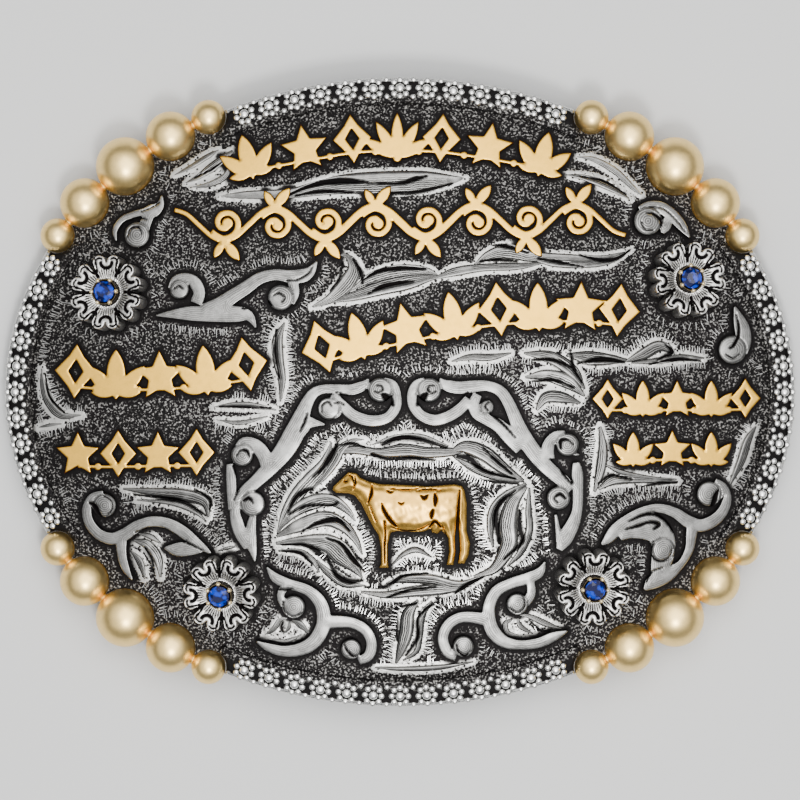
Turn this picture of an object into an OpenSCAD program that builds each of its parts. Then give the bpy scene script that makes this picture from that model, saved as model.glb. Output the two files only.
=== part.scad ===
// Western trophy buckle: a domed oval plate with raised scrolls, bronze ornament rows,
// a standing cow, four flowers with blue stones, berry trims and corner beads.
// Millimetres. +X is the right of the face, +Y its top, and +Z points out of it.
// The origin is under the middle of the buckle, on the surface where it lies.

/* [Plate] */
// Overall length of the oval, left to right
buckle_l = 114.7; // [112:0.1:118]
// Overall height of the oval
buckle_h = 90.9; // [89:0.1:94]
// Radius of the domed face
dome_r = 160; // [150:1:240]
// Thickness of the base plate
plate_t = 1.6; // [1.2:0.1:2]
// Clearance between two pieces
gap = 0.06; // [0.04:0.01:0.1]

/* [Overlays] */
// Thickness of the scroll overlays
scroll_t = 1.1; // [0.8:0.1:1.6]
// Thickness of the bronze ornaments
ornament_t = 0.9; // [0.6:0.1:1.4]
// Thickness of the cow's flat body
cow_t = 1.5; // [1:0.1:2]
// Height that the cow's trunk is raised above its flat body
trunk_t = 0.7; // [0.4:0.1:1]

/* [Edge trims] */
// Width of a trim strip
trim_w = 3.7; // [3.4:0.1:4]
// Thickness of a trim strip
trim_t = 0.7; // [0.5:0.1:1]
// Rosettes on the top trim and on the bottom trim
long_rosettes = 13; // [11:1:13]
// Rosettes on each side trim
side_rosettes = 11; // [9:1:11]
// Radius of a rosette's middle ball
core_r = 0.6; // [0.5:0.05:0.65]
// Radius of a rosette's berries
berry_r = 0.4; // [0.3:0.02:0.42]
// Radius of the ring of berries
ring_r = 1.2; // [1.15:0.01:1.25]

/* [Corner beads] */
// Radius of the middle bead of a corner
large_bead_r = 4.25; // [4:0.05:4.4]
// Radius of the beads beside it
medium_bead_r = 3.6; // [3.3:0.05:3.7]
// Radius of the beads at the ends
small_bead_r = 2.5; // [2.2:0.05:2.6]

/* [Flowers] */
// Thickness of a flower
flower_t = 3.2; // [2.5:0.1:4]
// Distance from a flower's middle to its petal lobes
lobe_reach = 4.35; // [4.1:0.05:4.5]
// Diameter of a stone
stone_d = 3; // [2.6:0.1:3.1]

/* [Belt findings] */
// Clear width between the legs of the belt loop
loop_w = 40; // [38:0.5:44]
// Radius of the loop's bar and legs
bar_r = 1.3; // [1.2:0.1:1.5]
// Distance from the middle to the loop's bar
loop_x = 31; // [28:0.5:34]
// Distance from the middle to the belt hook
hook_x = 38; // [35:0.5:41]
// Radius of the hook's post
hook_r = 2.2; // [1.8:0.1:2.4]
// Room for the belt between the plate and the hook's tip
hook_l = 7.6; // [7.4:0.1:9]

/* [Hidden] */

dome_fn = 256;
small_fn = 32;
half_l = buckle_l / 2;
half_h = buckle_h / 2;
function drop(r) = dome_r - sqrt(dome_r * dome_r - r * r);
crown_z = hook_l + plate_t + drop(hook_x);
dome_z = crown_z - dome_r;
under_r = dome_r - plate_t;
function face_z(x, y) = crown_z - drop(norm([x, y]));
function under_z(x, y) = dome_z + sqrt(under_r * under_r - x * x - y * y);

// Corner beads, each on the oval's edge and touching the next one but for the gap
corner_angle = 46;
bead_radii = [small_bead_r, medium_bead_r, large_bead_r, medium_bead_r, small_bead_r];
CORNERS = [["top_left", -1, 1], ["top_right", 1, 1],
    ["bottom_left", -1, -1], ["bottom_right", 1, -1]];
function edge_point(a) = [half_l * cos(a), half_h * sin(a)];
function edge_step(a, want, turn, guess = 8, n = 8) =
    n == 0 ? a + turn * guess
    : edge_step(a, want, turn,
        guess * want / norm(edge_point(a + turn * guess) - edge_point(a)), n - 1);
function bead_reach(i, j) = bead_radii[i] + bead_radii[j] + gap;
angle_2 = edge_step(corner_angle, bead_reach(2, 1), 1);
angle_1 = edge_step(angle_2, bead_reach(1, 0), 1);
angle_4 = edge_step(corner_angle, bead_reach(2, 3), -1);
angle_5 = edge_step(angle_4, bead_reach(3, 4), -1);
bead_angles = [angle_1, angle_2, corner_angle, angle_4, angle_5];
function bead_xy(c, i) = let(p = edge_point(bead_angles[i])) [c[1] * p[0], c[2] * p[1]];
bead_lift = 0.1;

// Rosettes: their line's inset, the angles of the last ones, and the berries between them
berry_inset = trim_w / 2 - 0.3;
long_end = 66.2;
side_end = 24.6;
filler_reach = 1.25;
filler_r = 0.34;

// Flowers, named by corner, with the middle of the base and the turn of the petals
FLOWERS = [["top_left", -41.6, 14.1, 90], ["top_right", 41.0, 16.0, 5],
    ["bottom_left", -25.4, -28.7, 62], ["bottom_right", 27.4, -27.8, 88]];
lobe_r = 0.98;
lobe_side = 1.07;
well_r = 2.05;
well_depth = 1.1;
cup_r = 1.9;
cup_h = 1.7;
prong_r = 0.33;
prong_reach = 1.88;
prongs = 6;

// One point of a smooth curve through a, b, c and d, between b and c
function glide(a, b, c, d, t) = 0.5 * (2 * b + (c - a) * t
    + (2 * a - 5 * b + 4 * c - d) * t * t + (3 * b - a - 3 * c + d) * t * t * t);
function row_at(rows, i) = rows[max(0, min(len(rows) - 1, i))];
curve_steps = 4;
function smooth(rows) = concat(
    [for (i = [0 : len(rows) - 2], k = [0 : curve_steps - 1])
        glide(row_at(rows, i - 1), rows[i], rows[i + 1], row_at(rows, i + 2), k / curve_steps)],
    [rows[len(rows) - 1]]);
function spot(p) = [p[0], p[1]];
function side(a, b) = let(d = spot(b) - spot(a)) [-d[1], d[0]] / norm(d);

// A band along rows of [x, y, width], as one flat shape
module band(rows) {
    path = smooth(rows);
    last = len(path) - 1;
    sides = [for (i = [0 : last]) side(path[max(0, i - 1)], path[min(last, i + 1)])];
    half = [for (p = path) max(0.08, p[2] / 2)];
    for (i = [0 : last - 1])
        polygon([spot(path[i]) + sides[i] * half[i],
            spot(path[i + 1]) + sides[i + 1] * half[i + 1],
            spot(path[i + 1]) - sides[i + 1] * half[i + 1],
            spot(path[i]) - sides[i] * half[i]]);
}

// Round volute eyes, as rows of [x, y, radius]
module eyes(rows) {
    for (e = rows) translate([e[0], e[1]]) circle(r = e[2], $fn = small_fn);
}

// A flat shape raised on the domed face
module raised(t, base = 0) {
    difference() {
        intersection() {
            linear_extrude(height = 2 * crown_z) children();
            dome(dome_r + base + gap + t);
        }
        dome(dome_r + base + gap);
    }
}

// A ball with the dome's middle, its poles turned away from the face
module dome(r) {
    translate([0, 0, dome_z]) rotate([90, 0, 0]) sphere(r = r, $fn = dome_fn);
}

// Stands its children upright on the domed face at x, y
module on_face(x, y) {
    around = atan2(y, x);
    tilt = asin(norm([x, y]) / dome_r);
    translate([x, y, face_z(x, y)]) rotate([0, tilt, around]) rotate([0, 0, -around])
        children();
}

module oval(inset = 0) {
    polygon([for (a = [0 : 3 : 357]) [(half_l - inset) * cos(a), (half_h - inset) * sin(a)]]);
}

// The part of the oval between the end beads of two corners, seen from its middle
module trim_sector(ways, turn) {
    far = 2 * half_l;
    long = ways == "long";
    a = edge_point(bead_angles[long ? 0 : 4]);
    rotate([0, 0, turn])
        polygon(long ? [[0, 0], a, [a[0], far], [-a[0], far], [-a[0], a[1]]]
            : [[0, 0], a, [far, far], [far, -far], [a[0], -a[1]]]);
}

module bead_seats(extra) {
    for (c = CORNERS, i = [0 : 4]) translate(bead_xy(c, i))
        circle(r = bead_radii[i] + extra, $fn = 64);
}

// What lies outside the chain of bead middles at each corner
module corner_waste() {
    far = 2 * half_l;
    for (c = CORNERS) {
        chain = [for (i = [0 : 4]) bead_xy(c, i)];
        polygon(concat(chain, [[c[1] * far, chain[4][1]], [c[1] * far, c[2] * far],
            [chain[0][0], c[2] * far]]));
    }
}

module base_plate() {
    color("dimgray") difference() {
        intersection() {
            linear_extrude(height = 2 * crown_z) difference() {
                oval();
                corner_waste();
                bead_seats(gap);
            }
            dome(dome_r);
        }
        dome(dome_r - plate_t);
    }
}

// One berry flower of a trim, on the strip's top
module rosette(x, y) {
    at_height(x, y) sphere(r = core_r, $fn = small_fn);
    for (k = [0 : 7]) let(a = 45 * k + atan2(y, x))
        at_height(x + ring_r * cos(a), y + ring_r * sin(a))
            sphere(r = berry_r, $fn = small_fn);
}

module at_height(x, y) {
    translate([x, y, face_z(x, y) + gap + trim_t]) children();
}

module trim(ways, turn, count) {
    mid_a = half_l - berry_inset;
    mid_b = half_h - berry_inset;
    first = ways == "long" ? long_end : -side_end;
    last = ways == "long" ? 180 - long_end : side_end;
    step = (last - first) / (count - 1);
    color("silver") union() {
        raised(trim_t) difference() {
            intersection() {
                oval();
                trim_sector(ways, turn);
            }
            oval(trim_w);
            bead_seats(2 * gap);
        }
        for (i = [0 : count - 1]) let(a = turn + first + i * step)
            rosette(mid_a * cos(a), mid_b * sin(a));
        for (i = [0 : count - 2], s = [-1, 1]) let(a = turn + first + (i + 0.5) * step)
            at_height((mid_a + s * filler_reach) * cos(a), (mid_b + s * filler_reach) * sin(a))
                sphere(r = filler_r, $fn = small_fn);
    }
}

module bead(c, i) {
    p = bead_xy(c, i);
    color("burlywood") translate([p[0], p[1], face_z(p[0], p[1]) + bead_lift])
        rotate([90, 0, 0]) sphere(r = bead_radii[i], $fn = 64);
}

// The outline of a flower: six heart-shaped petals around a disc
module petals(turn) {
    circle(r = 3.5, $fn = small_fn);
    for (k = [0 : 5]) rotate([0, 0, turn + 60 * k]) {
        for (s = [-1, 1]) translate([lobe_reach, s * lobe_side])
            circle(r = lobe_r, $fn = small_fn);
        polygon([[0, -1.2], [lobe_reach, -2], [lobe_reach, 2], [0, 1.2]]);
    }
}

module flower(f) {
    color("silver") on_face(f[1], f[2]) translate([0, 0, gap]) difference() {
        linear_extrude(height = flower_t) petals(f[3]);
        translate([0, 0, flower_t - well_depth]) cylinder(r = well_r, h = flower_t, $fn = 48);
    }
}

// The stone's cup, with its balls around the rim
module setting(f) {
    floor_z = gap + flower_t - well_depth + gap;
    color("khaki") on_face(f[1], f[2]) translate([0, 0, floor_z]) {
        difference() {
            cylinder(r = cup_r, h = cup_h, $fn = 48);
            translate([0, 0, 0.25])
                cylinder(r1 = 0.35, r2 = stone_d / 2 + 0.12, h = cup_h - 0.25 + 0.01, $fn = 48);
        }
        for (k = [0 : prongs - 1]) rotate([0, 0, f[3] + 30 + 60 * k])
            translate([prong_reach, 0, cup_h + 0.12]) sphere(r = prong_r, $fn = 24);
    }
}

// A cut stone: a flat table, eight crown facets over a round girdle, and a pointed base
module cut_stone(d) {
    sides = 8;
    girdle_h = 0.14;
    crown_h = 0.42;
    point_h = 1.15;
    table = [for (k = [0 : sides - 1]) let(a = 360 * k / sides)
        [0.29 * d * cos(a), 0.29 * d * sin(a), girdle_h + crown_h]];
    rim = [for (z = [girdle_h, 0], k = [0 : 2 * sides - 1]) let(a = 180 * k / sides)
        [d / 2 * cos(a), d / 2 * sin(a), z]];
    points = concat(table, rim, [[0, 0, -point_h]]);
    upper = sides;
    lower = 3 * sides;
    tip = 5 * sides;
    turns = 2 * sides;
    faces = concat(
        [[for (k = [sides - 1 : -1 : 0]) k]],
        [for (k = [0 : sides - 1]) [k, (k + 1) % sides, upper + 2 * k + 1]],
        [for (k = [0 : sides - 1]) [k, upper + 2 * k + 1, upper + 2 * k]],
        [for (k = [0 : sides - 1]) [k, upper + 2 * k, upper + (2 * k + turns - 1) % turns]],
        [for (k = [0 : turns - 1])
            [upper + k, upper + (k + 1) % turns, lower + (k + 1) % turns, lower + k]],
        [for (k = [0 : turns - 1]) [lower + k, lower + (k + 1) % turns, tip]]);
    polyhedron(points, faces);
}

module stone(f) {
    seat_z = gap + flower_t - well_depth + gap + cup_h - 0.06;
    color("royalblue") on_face(f[1], f[2]) translate([0, 0, seat_z])
        rotate([0, 0, f[3]]) cut_stone(stone_d);
}

// The cow's outline from its nose round the legs and the back, each point [x, y]
module cow_shape() {
    nose = [[-9.6, -13.6], [-9.7, -14.1], [-9.2, -14.5], [-7.3, -14.6], [-6.5, -14.9]];
    chest = [[-5.6, -16], [-4.8, -17.6], [-3.9, -19.4], [-3.1, -20.6]];
    front_leg = [[-2.75, -22.5], [-2.75, -24.7], [-3.0, -25.3], [-1.6, -25.3], [-1.75, -24.2],
        [-1.75, -22], [-1.3, -20.2]];
    belly = [[-0.2, -20], [1.5, -20.1], [3.3, -20.1], [4.4, -19.7], [4.6, -20.2],
        [5.4, -20.4], [6.0, -19.9]];
    hind_leg = [[6.9, -21], [7.05, -23], [6.7, -24.9], [7.7, -24.9], [8.0, -23],
        [7.9, -20.8], [8.2, -19]];
    far_leg = [[8.5, -20.5], [8.6, -22.8], [8.3, -24.7], [9.3, -24.7]];
    tail = [[9.9, -23.4], [10.1, -21.8], [9.6, -20], [9.6, -16], [9.3, -14.2], [8.9, -13.5]];
    back = [[7.8, -13.25], [4, -13.55], [0, -13.3], [-3, -13.2], [-4.6, -12.8]];
    head = [[-5.7, -12.3], [-6.2, -11.7], [-7.4, -11.5], [-8.2, -12.3]];
    polygon(concat(nose, chest, front_leg, belly, hind_leg, far_leg, tail, back, head));
}

// The cow's raised trunk, with rows of [x, y, width] down the shoulder, side and haunch
module cow_trunk() {
    band([[-3.2, -14.2, 0.4], [-3.1, -16, 1.6], [-2.6, -18.2, 1.5], [-2.3, -20.4, 0.7]]);
    band([[-2.4, -15.6, 1.2], [0, -16.4, 4.2], [3, -16.6, 4.6], [5, -16.4, 4.2], [7.2, -16.4, 2.4]]);
    band([[6.4, -14.4, 1.2], [6.9, -16.4, 1.8], [7.2, -18.6, 1.2], [7.4, -20.6, 0.6]]);
}

module cow() {
    color("burlywood") union() {
        raised(cow_t) offset(delta = 0.02) cow_shape();
        raised(cow_t + trunk_t) offset(delta = 0.02) cow_trunk();
    }
}

// Ornament motifs, each about one unit high
module leaf(l, w) {
    r = (l * l / 4 + w * w / 4) / w;
    intersection() {
        translate([r - w / 2, l / 2]) circle(r = r, $fn = 48);
        translate([w / 2 - r, l / 2]) circle(r = r, $fn = 48);
    }
}

module star() {
    polygon([for (k = [0 : 9]) let(r = k % 2 == 0 ? 0.54 : 0.26)
        [r * sin(36 * k), r * cos(36 * k) - 0.03]]);
}

module sprig() {
    translate([0, -0.5]) leaf(1, 0.38);
    for (s = [-1, 1]) {
        translate([0, -0.44]) rotate([0, 0, 43 * s]) leaf(0.84, 0.3);
        translate([0, -0.38]) rotate([0, 0, 86 * s]) leaf(0.5, 0.19);
    }
}

module lozenge() {
    polygon([[0, 0.54], [0.15, 0.3], [0.42, 0], [0.15, -0.3], [0, -0.54], [-0.15, -0.3],
        [-0.42, 0], [-0.15, 0.3]]);
    polygon([[0, 0.42], [0.34, 0], [0, -0.42], [-0.34, 0]]);
}

module lozenge_eye() {
    polygon([[0, 0.22], [0.14, 0], [0, -0.22], [-0.14, 0]]);
}

module fan() {
    for (k = [-2 : 2]) translate([0, -0.46]) rotate([0, 0, 30 * k])
        leaf(0.98 - 0.07 * abs(k), 0.26);
    translate([0, -0.44]) circle(r = 0.1, $fn = 24);
}

module motif(kind) {
    if (kind == "star") star();
    if (kind == "sprig") sprig();
    if (kind == "lozenge") lozenge();
    if (kind == "fan") fan();
}

// A row of motifs on a thin stem, from slots of [x, y, turn, height, kind]
module ornament_row(slots, low = 0.3) {
    stem = [for (s = slots) [s[0] + low * s[3] * sin(s[2]), s[1] - low * s[3] * cos(s[2]), 0.5]];
    color("burlywood") raised(ornament_t) difference() {
        offset(delta = 0.02) {
            band(stem);
            for (s = slots) translate([s[0], s[1]]) rotate([0, 0, s[2]]) scale(s[3])
                motif(s[4]);
            for (i = [0 : len(slots) - 2])
                translate((spot(stem[i]) + spot(stem[i + 1])) / 2) circle(r = 0.55, $fn = 24);
        }
        for (s = slots) if (s[4] == "lozenge")
            translate([s[0], s[1]]) rotate([0, 0, s[2]]) scale(s[3]) lozenge_eye();
    }
}

CREST_SLOTS = [[-22, 33.9, 15, 6.8, "sprig"], [-13.8, 35.3, 9, 6.6, "star"],
    [-6.9, 36.5, 5, 6.7, "lozenge"], [-0.4, 36.8, 0, 6.8, "fan"],
    [6, 36.6, -4, 6.7, "lozenge"], [12.9, 35.6, -9, 6.6, "star"],
    [20.7, 34.3, -14, 6.8, "sprig"]];
BANNER_LEFT_SLOTS = [[-46.9, 3, -3, 7.4, "lozenge"], [-41, 2.5, 0, 7.4, "sprig"],
    [-34.6, 2.5, 2, 7, "star"], [-28, 3.1, 6, 7.4, "sprig"], [-22.1, 4, 10, 7.4, "lozenge"]];
BANNER_RIGHT_SLOTS = [[-11.2, 6.5, 17, 7.4, "lozenge"], [-6, 8, 16, 7.2, "sprig"],
    [0.9, 9.3, 14, 7.2, "star"], [7.6, 10.9, 11, 7.2, "sprig"],
    [14.2, 11.9, 6, 7.4, "lozenge"], [19.9, 12.2, 2, 7.2, "sprig"],
    [26, 12.3, -2, 7.2, "star"], [31.6, 11.8, -5, 7.2, "lozenge"]];
LEFT_SLOTS = [[-46.6, -8.9, 0, 6.2, "star"], [-40.7, -8.9, 0, 6.4, "lozenge"],
    [-34.9, -8.8, 0, 6.2, "star"], [-29.3, -8.7, 0, 6.4, "lozenge"]];
RIGHT_UPPER_SLOTS = [[29.9, -1, 0, 5.4, "lozenge"], [35, -1, 0, 5.4, "sprig"],
    [40, -1, 0, 5.4, "star"], [45, -1, 0, 5.4, "sprig"], [50, -0.9, 0, 5.4, "lozenge"]];
RIGHT_LOWER_SLOTS = [[33.6, -8.3, 0, 5.2, "sprig"], [39.3, -8.2, 0, 5.4, "star"],
    [45, -8.3, 0, 5.2, "sprig"]];

// The vine: a waving stem with a curl in each hollow and a leaf on each crest
vine_from = -32.6;
vine_to = 32.6;
vine_waves = 4.5;
vine_swing = 2.3;
function vine_y(x) = 24 + 0.9 * (x - vine_from) / (vine_to - vine_from)
    + vine_swing * sin(vine_phase(x));
function vine_phase(x) = 360 * vine_waves * (x - vine_from) / (vine_to - vine_from) + 90;
function curl_rows(x, y, s, r) = [for (k = [0 : 9]) let(a = s * (150 - 52 * k), q = r * (1 - k * 0.085))
    [x + q * cos(a), y + q * sin(a), 1.05 - 0.02 * k]];

module vine_row() {
    wave = (vine_to - vine_from) / vine_waves;
    color("burlywood") raised(ornament_t) offset(delta = 0.02) {
        band([for (k = [0 : 36]) let(x = vine_from + (vine_to - vine_from) * k / 36)
            [x, vine_y(x), 1.3 - 0.6 * abs(k / 18 - 1)]]);
        for (k = [1 : 2 * vine_waves - 1]) {
            x = vine_from + wave * k / 2;
            up = k % 2 == 0 ? 1 : -1;
            mid = vine_y(x) - up * 2.5;
            band(curl_rows(x + 0.2, mid, up, 2.45));
            translate([x + 0.5, mid]) circle(r = 0.85, $fn = 24);
            translate([x, vine_y(x)]) {
                rotate([0, 0, up * -38 + 90 - up * 90]) leaf(3.7, 1.6);
                rotate([0, 0, up * 30 + 90 - up * 90]) leaf(2.9, 1.3);
            }
        }
    }
}

// Cracks narrower than twice this, where a band meets an eye, are filled
join = 0.14;

// A scroll overlay from bands and eyes, kept clear of the flowers
module scroll(bands, eye_rows) {
    color("silver") raised(scroll_t) difference() {
        offset(delta = -join) offset(delta = join + 0.02) {
            for (b = bands) band(b);
            eyes(eye_rows);
        }
        for (f = FLOWERS) translate([f[1], f[2]]) offset(delta = 0.25) petals(f[3]);
    }
}

module scroll_frame_left() {
    top = [[-4.5, 1.95, 0.3], [-5.2, 0.95, 1.5], [-7, 0.3, 1.7], [-9, 0.4, 1.5], [-11, 0.4, 1.4],
        [-12.4, -0.2, 1.6], [-13.4, -1.7, 1.9], [-14.2, -3.7, 2.5], [-15.1, -5.8, 3],
        [-16.6, -8.4, 2.9], [-18.6, -10.8, 2.4], [-20.6, -12.8, 2], [-22.5, -14.6, 1.8],
        [-23.7, -16.8, 1.5], [-23.4, -19, 1.9], [-22.7, -21, 1.7], [-22.3, -22.7, 0.3]];
    hook = [[-9.2, -0.9, 1.2], [-8.2, -2, 1.6], [-6.6, -3.4, 1.7], [-4.2, -4.15, 1.7],
        [-1.9, -3.75, 1.6], [-0.6, -2.2, 1.6], [-0.5, -0.3, 1.4], [-1.2, 0.9, 1.8],
        [-2.5, 1.3, 1.6]];
    small_curl = [[-9.6, -0.2, 1.2], [-8.8, -1.5, 1.4], [-9, -2.9, 1.4], [-10.2, -3.4, 1.4]];
    inner_leaf = [[-10.7, -4.7, 0.3], [-12, -4.5, 1.1], [-13.4, -4.5, 2.1], [-14.6, -5.8, 2.2]];
    left_curl = [[-23.4, -8.1, 1], [-22.4, -7.3, 1.7], [-20.8, -7.7, 2], [-19.6, -9, 2.1],
        [-19.2, -10.5, 1.8]];
    left_band = [[-24.5, -10.3, 1], [-24.3, -12, 1.5], [-24.2, -14.5, 1.5], [-24, -17, 1.5]];
    right_edge = [[-21, -17.2, 0.8], [-21.4, -19.4, 1.5], [-21.5, -21.4, 1.8],
        [-21.1, -23.1, 1.1], [-20.9, -24.5, 0.3]];
    scroll([top, hook, small_curl, inner_leaf, left_curl, left_band, right_edge],
        [[-2.85, 0.3, 1.8], [-10.2, -2.4, 1.65], [-22.7, -9.1, 1.65], [-21.2, -16.1, 1.85]]);
}

module scroll_frame_right() {
    top = [[5.7, 2, 0.3], [6.6, 1, 1.7], [8.4, 0.6, 1.9], [10.5, 0.8, 1.8], [12.6, 0.85, 1.6],
        [14.4, 0.1, 1.7], [15.6, -1.6, 1.8], [16.6, -3.9, 2], [17.6, -6.2, 2.4],
        [19.2, -8.6, 2.4], [20.9, -10.6, 2.2], [22.9, -12.4, 2], [24.8, -14, 1.6]];
    hook = [[9.9, -0.9, 1.4], [8.8, -2.3, 1.7], [7, -3.5, 1.7], [5, -4.05, 1.7],
        [3.1, -3.4, 1.6], [1.9, -1.9, 1.6], [1.75, -0.2, 1.5], [2.5, 0.9, 1.8],
        [3.7, 1.4, 1.6]];
    small_curl = [[11.2, -0.3, 1.4], [10.6, -1.7, 1.7], [11, -3.1, 1.7], [12.5, -4, 1.7],
        [14.2, -4.9, 2], [15.9, -6.5, 2.4], [17.5, -8.2, 2.2]];
    right_curl = [[21.3, -9.7, 2], [21.3, -7.8, 1.9], [22.4, -6.5, 1.8], [23.8, -6.3, 1.6]];
    lip = [[24.4, -8.6, 1], [25.8, -9.1, 0.3]];
    right_band = [[25.3, -10.1, 1], [25.5, -11.6, 1.7], [25.6, -14.5, 1.6], [25.5, -17, 1.6],
        [24.9, -19, 2], [23.7, -21.2, 2.3], [22.9, -22.8, 1]];
    left_edge = [[22.4, -17.6, 0.5], [22.7, -19.6, 0.8], [23, -21.6, 1.2]];
    lower_curl = [[22.4, -14.2, 1.2], [21.7, -15.2, 1.2], [22.2, -16.4, 1.2]];
    scroll([top, hook, small_curl, right_curl, lip, right_band, left_edge, lower_curl],
        [[4.2, 0.3, 1.8], [12.5, -2.2, 1.05], [24.1, -7.6, 1.7], [22.8, -15.3, 1.75]]);
}

module scroll_foot_left() {
    crescent = [[-19.2, -25.2, 0.3], [-17.9, -26.8, 1.5], [-15.8, -27.7, 1.5],
        [-13.4, -28.5, 1.6], [-11.7, -30, 1.9], [-11, -31.9, 2.1], [-11.1, -33.8, 2.2],
        [-12.3, -35.9, 2.1], [-14.3, -37.1, 1.9], [-16.8, -37.4, 1.6], [-19.1, -36.8, 1.2],
        [-20.7, -36, 0.3]];
    branch = [[-10.9, -33.2, 2], [-8.8, -33.1, 1.8], [-6.8, -33.3, 1.6], [-5, -34.3, 1.6],
        [-4.1, -36.1, 1.6], [-4.5, -38, 1.6], [-6, -38.8, 1.2]];
    inner = [[-16.4, -27.8, 1.3], [-17.2, -29.3, 1.2], [-16.6, -30.8, 1.3]];
    scroll([crescent, branch, inner], [[-15.3, -31, 1.7], [-7.05, -37.1, 1.5]]);
}

module scroll_foot_right() {
    crescent = [[20.9, -24.4, 0.3], [20.1, -26, 1.5], [18.2, -26.9, 1.7], [15.9, -27.6, 1.6],
        [13.9, -28.7, 1.7], [12.9, -30.6, 1.8], [12.8, -32.6, 2], [13.4, -34.5, 2.1],
        [15, -36, 1.8], [17.4, -36.5, 1.4], [20, -36.2, 1.5], [22.2, -35.3, 1.4],
        [24.2, -34.5, 0.3]];
    branch = [[12.9, -32.9, 2], [10.8, -32.5, 1.7], [8.7, -32.5, 1.6], [7, -33.5, 1.6],
        [6.2, -35.4, 1.6], [6.8, -37.4, 1.6], [8.2, -38.2, 1.3]];
    inner = [[18.8, -27.4, 1.3], [18.9, -29.1, 1.4], [18, -30.4, 1.5]];
    scroll([crescent, branch, inner], [[16.9, -30.6, 1.6], [9.15, -36.7, 1.55]]);
}

module scroll_corner_left() {
    arm = [[-42.8, -14.9, 1.4], [-44.4, -15.3, 1.4], [-45.3, -17, 1.4], [-44.9, -19, 1.5],
        [-43.5, -20.6, 1.6], [-41.6, -21.2, 1.8], [-39.8, -20.6, 1.9], [-38, -19.4, 1.7],
        [-35.8, -18.7, 1.6], [-33.5, -19, 1.7], [-31.4, -20.1, 1.8], [-29.6, -21.5, 1.5],
        [-28, -22.7, 0.9], [-27.2, -23.3, 0.3]];
    under_leaf = [[-34, -22.5, 0.4], [-32.2, -22.7, 2], [-30, -22.6, 2], [-28.4, -22.8, 0.8]];
    stem = [[-40.3, -21.4, 1.7], [-40.2, -23.5, 1.4], [-39.7, -25.4, 1.2], [-38.7, -27.2, 0.3]];
    scroll([arm, under_leaf, stem], [[-42.7, -16.4, 1.75]]);
}

module scroll_corner_right() {
    arm = [[45.4, -13.1, 1.4], [46.8, -13.9, 1.4], [47.3, -15.6, 1.4], [46.6, -17.4, 1.6],
        [45.2, -18.7, 1.8], [43.4, -19.3, 1.9], [41.6, -18.7, 1.9], [39.8, -17.5, 1.6],
        [37.6, -16.8, 1.4], [35.4, -17.1, 1.4], [33.2, -18.2, 1.6], [31.2, -19.8, 1.9],
        [29.9, -21.3, 1.4], [29, -22, 0.4]];
    stem = [[42.3, -18.9, 1.8], [42.1, -20.8, 1.6], [41.8, -22.8, 1.3], [40.6, -24.9, 1.2],
        [38.6, -26.4, 2.2], [36.4, -27.6, 2], [35.3, -28.6, 0.5]];
    inner = [[31.3, -20.7, 2], [33, -19.5, 3.6], [35.2, -19.2, 4.2], [37.1, -20, 4],
        [38, -21.6, 3.6], [38, -23.4, 3.4], [37.5, -25.4, 2.7], [36.9, -27.2, 1.4]];
    scroll([arm, stem, inner], [[44.7, -14.75, 1.85], [38.1, -22.8, 1.75]]);
}

module scroll_shoulder_left() {
    upper_arm = [[-29, 11.4, 2], [-26, 12.5, 2.3], [-24, 13.8, 2.1], [-22.1, 15, 2],
        [-20.2, 16.3, 1.8], [-18, 16.85, 1.7], [-15.9, 16.6, 1.9], [-14, 16.7, 2.1],
        [-12.8, 17.4, 1.5], [-11.9, 18.8, 0.3]];
    lower_arm = [[-35.2, 11, 0.3], [-33, 11.2, 1.2], [-30, 11.3, 2.2], [-26, 11.1, 2.2],
        [-23.6, 11.2, 2.4], [-21.7, 10.9, 1.6], [-20.7, 9.2, 0.3]];
    volute = [[-15.4, 15.8, 1.6], [-15.1, 14.2, 1.4], [-15.8, 12.8, 1.4]];
    left_ring = [[-33.1, 14.8, 0.9], [-32.4, 16, 1.4], [-31, 16.4, 1.6], [-29.6, 15.8, 1.8],
        [-28.9, 14.3, 1.8], [-29.4, 12.7, 1.8]];
    scroll([upper_arm, lower_arm, volute, left_ring],
        [[-17.15, 13.55, 1.9], [-31.8, 14.8, 1.45]]);
}

module scroll_curl_upper_left() {
    tail = [[-38.6, 26, 0.4], [-37, 25.9, 1.4], [-35.6, 26.2, 2], [-34.6, 27, 1.2],
        [-34.4, 28.4, 0.3]];
    neck = [[-36.1, 25.9, 1.6], [-36.7, 24.5, 1.7], [-37.3, 23, 2]];
    hook = [[-36.8, 26, 1], [-38.6, 25.6, 1], [-40.2, 24.9, 0.9], [-41.2, 23.4, 0.8],
        [-41, 21.8, 0.3]];
    scroll([tail, neck, hook], [[-38, 22.7, 1.9]]);
}

module scroll_curl_upper_right() {
    tail = [[34.8, 26, 1.8], [36, 26.7, 1.8], [37.8, 26.6, 1.8], [39.5, 25.4, 1.8],
        [40.9, 23.8, 1.4], [41.9, 22.3, 0.3]];
    bud = [[37.9, 22.9, 0.6], [38.3, 23.8, 1.6], [38.8, 24.9, 1.4], [39.3, 25.6, 0.8]];
    scroll([tail, bud], [[35.8, 24.7, 2.1]]);
}

module scroll_curl_right() {
    tail = [[49.5, 5.6, 1.6], [49.9, 7.2, 1.9], [49.6, 8.8, 2.3], [49.1, 10.4, 1.8],
        [48.4, 12.4, 0.3]];
    scroll([tail], [[48.1, 6.1, 2.1]]);
}

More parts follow.
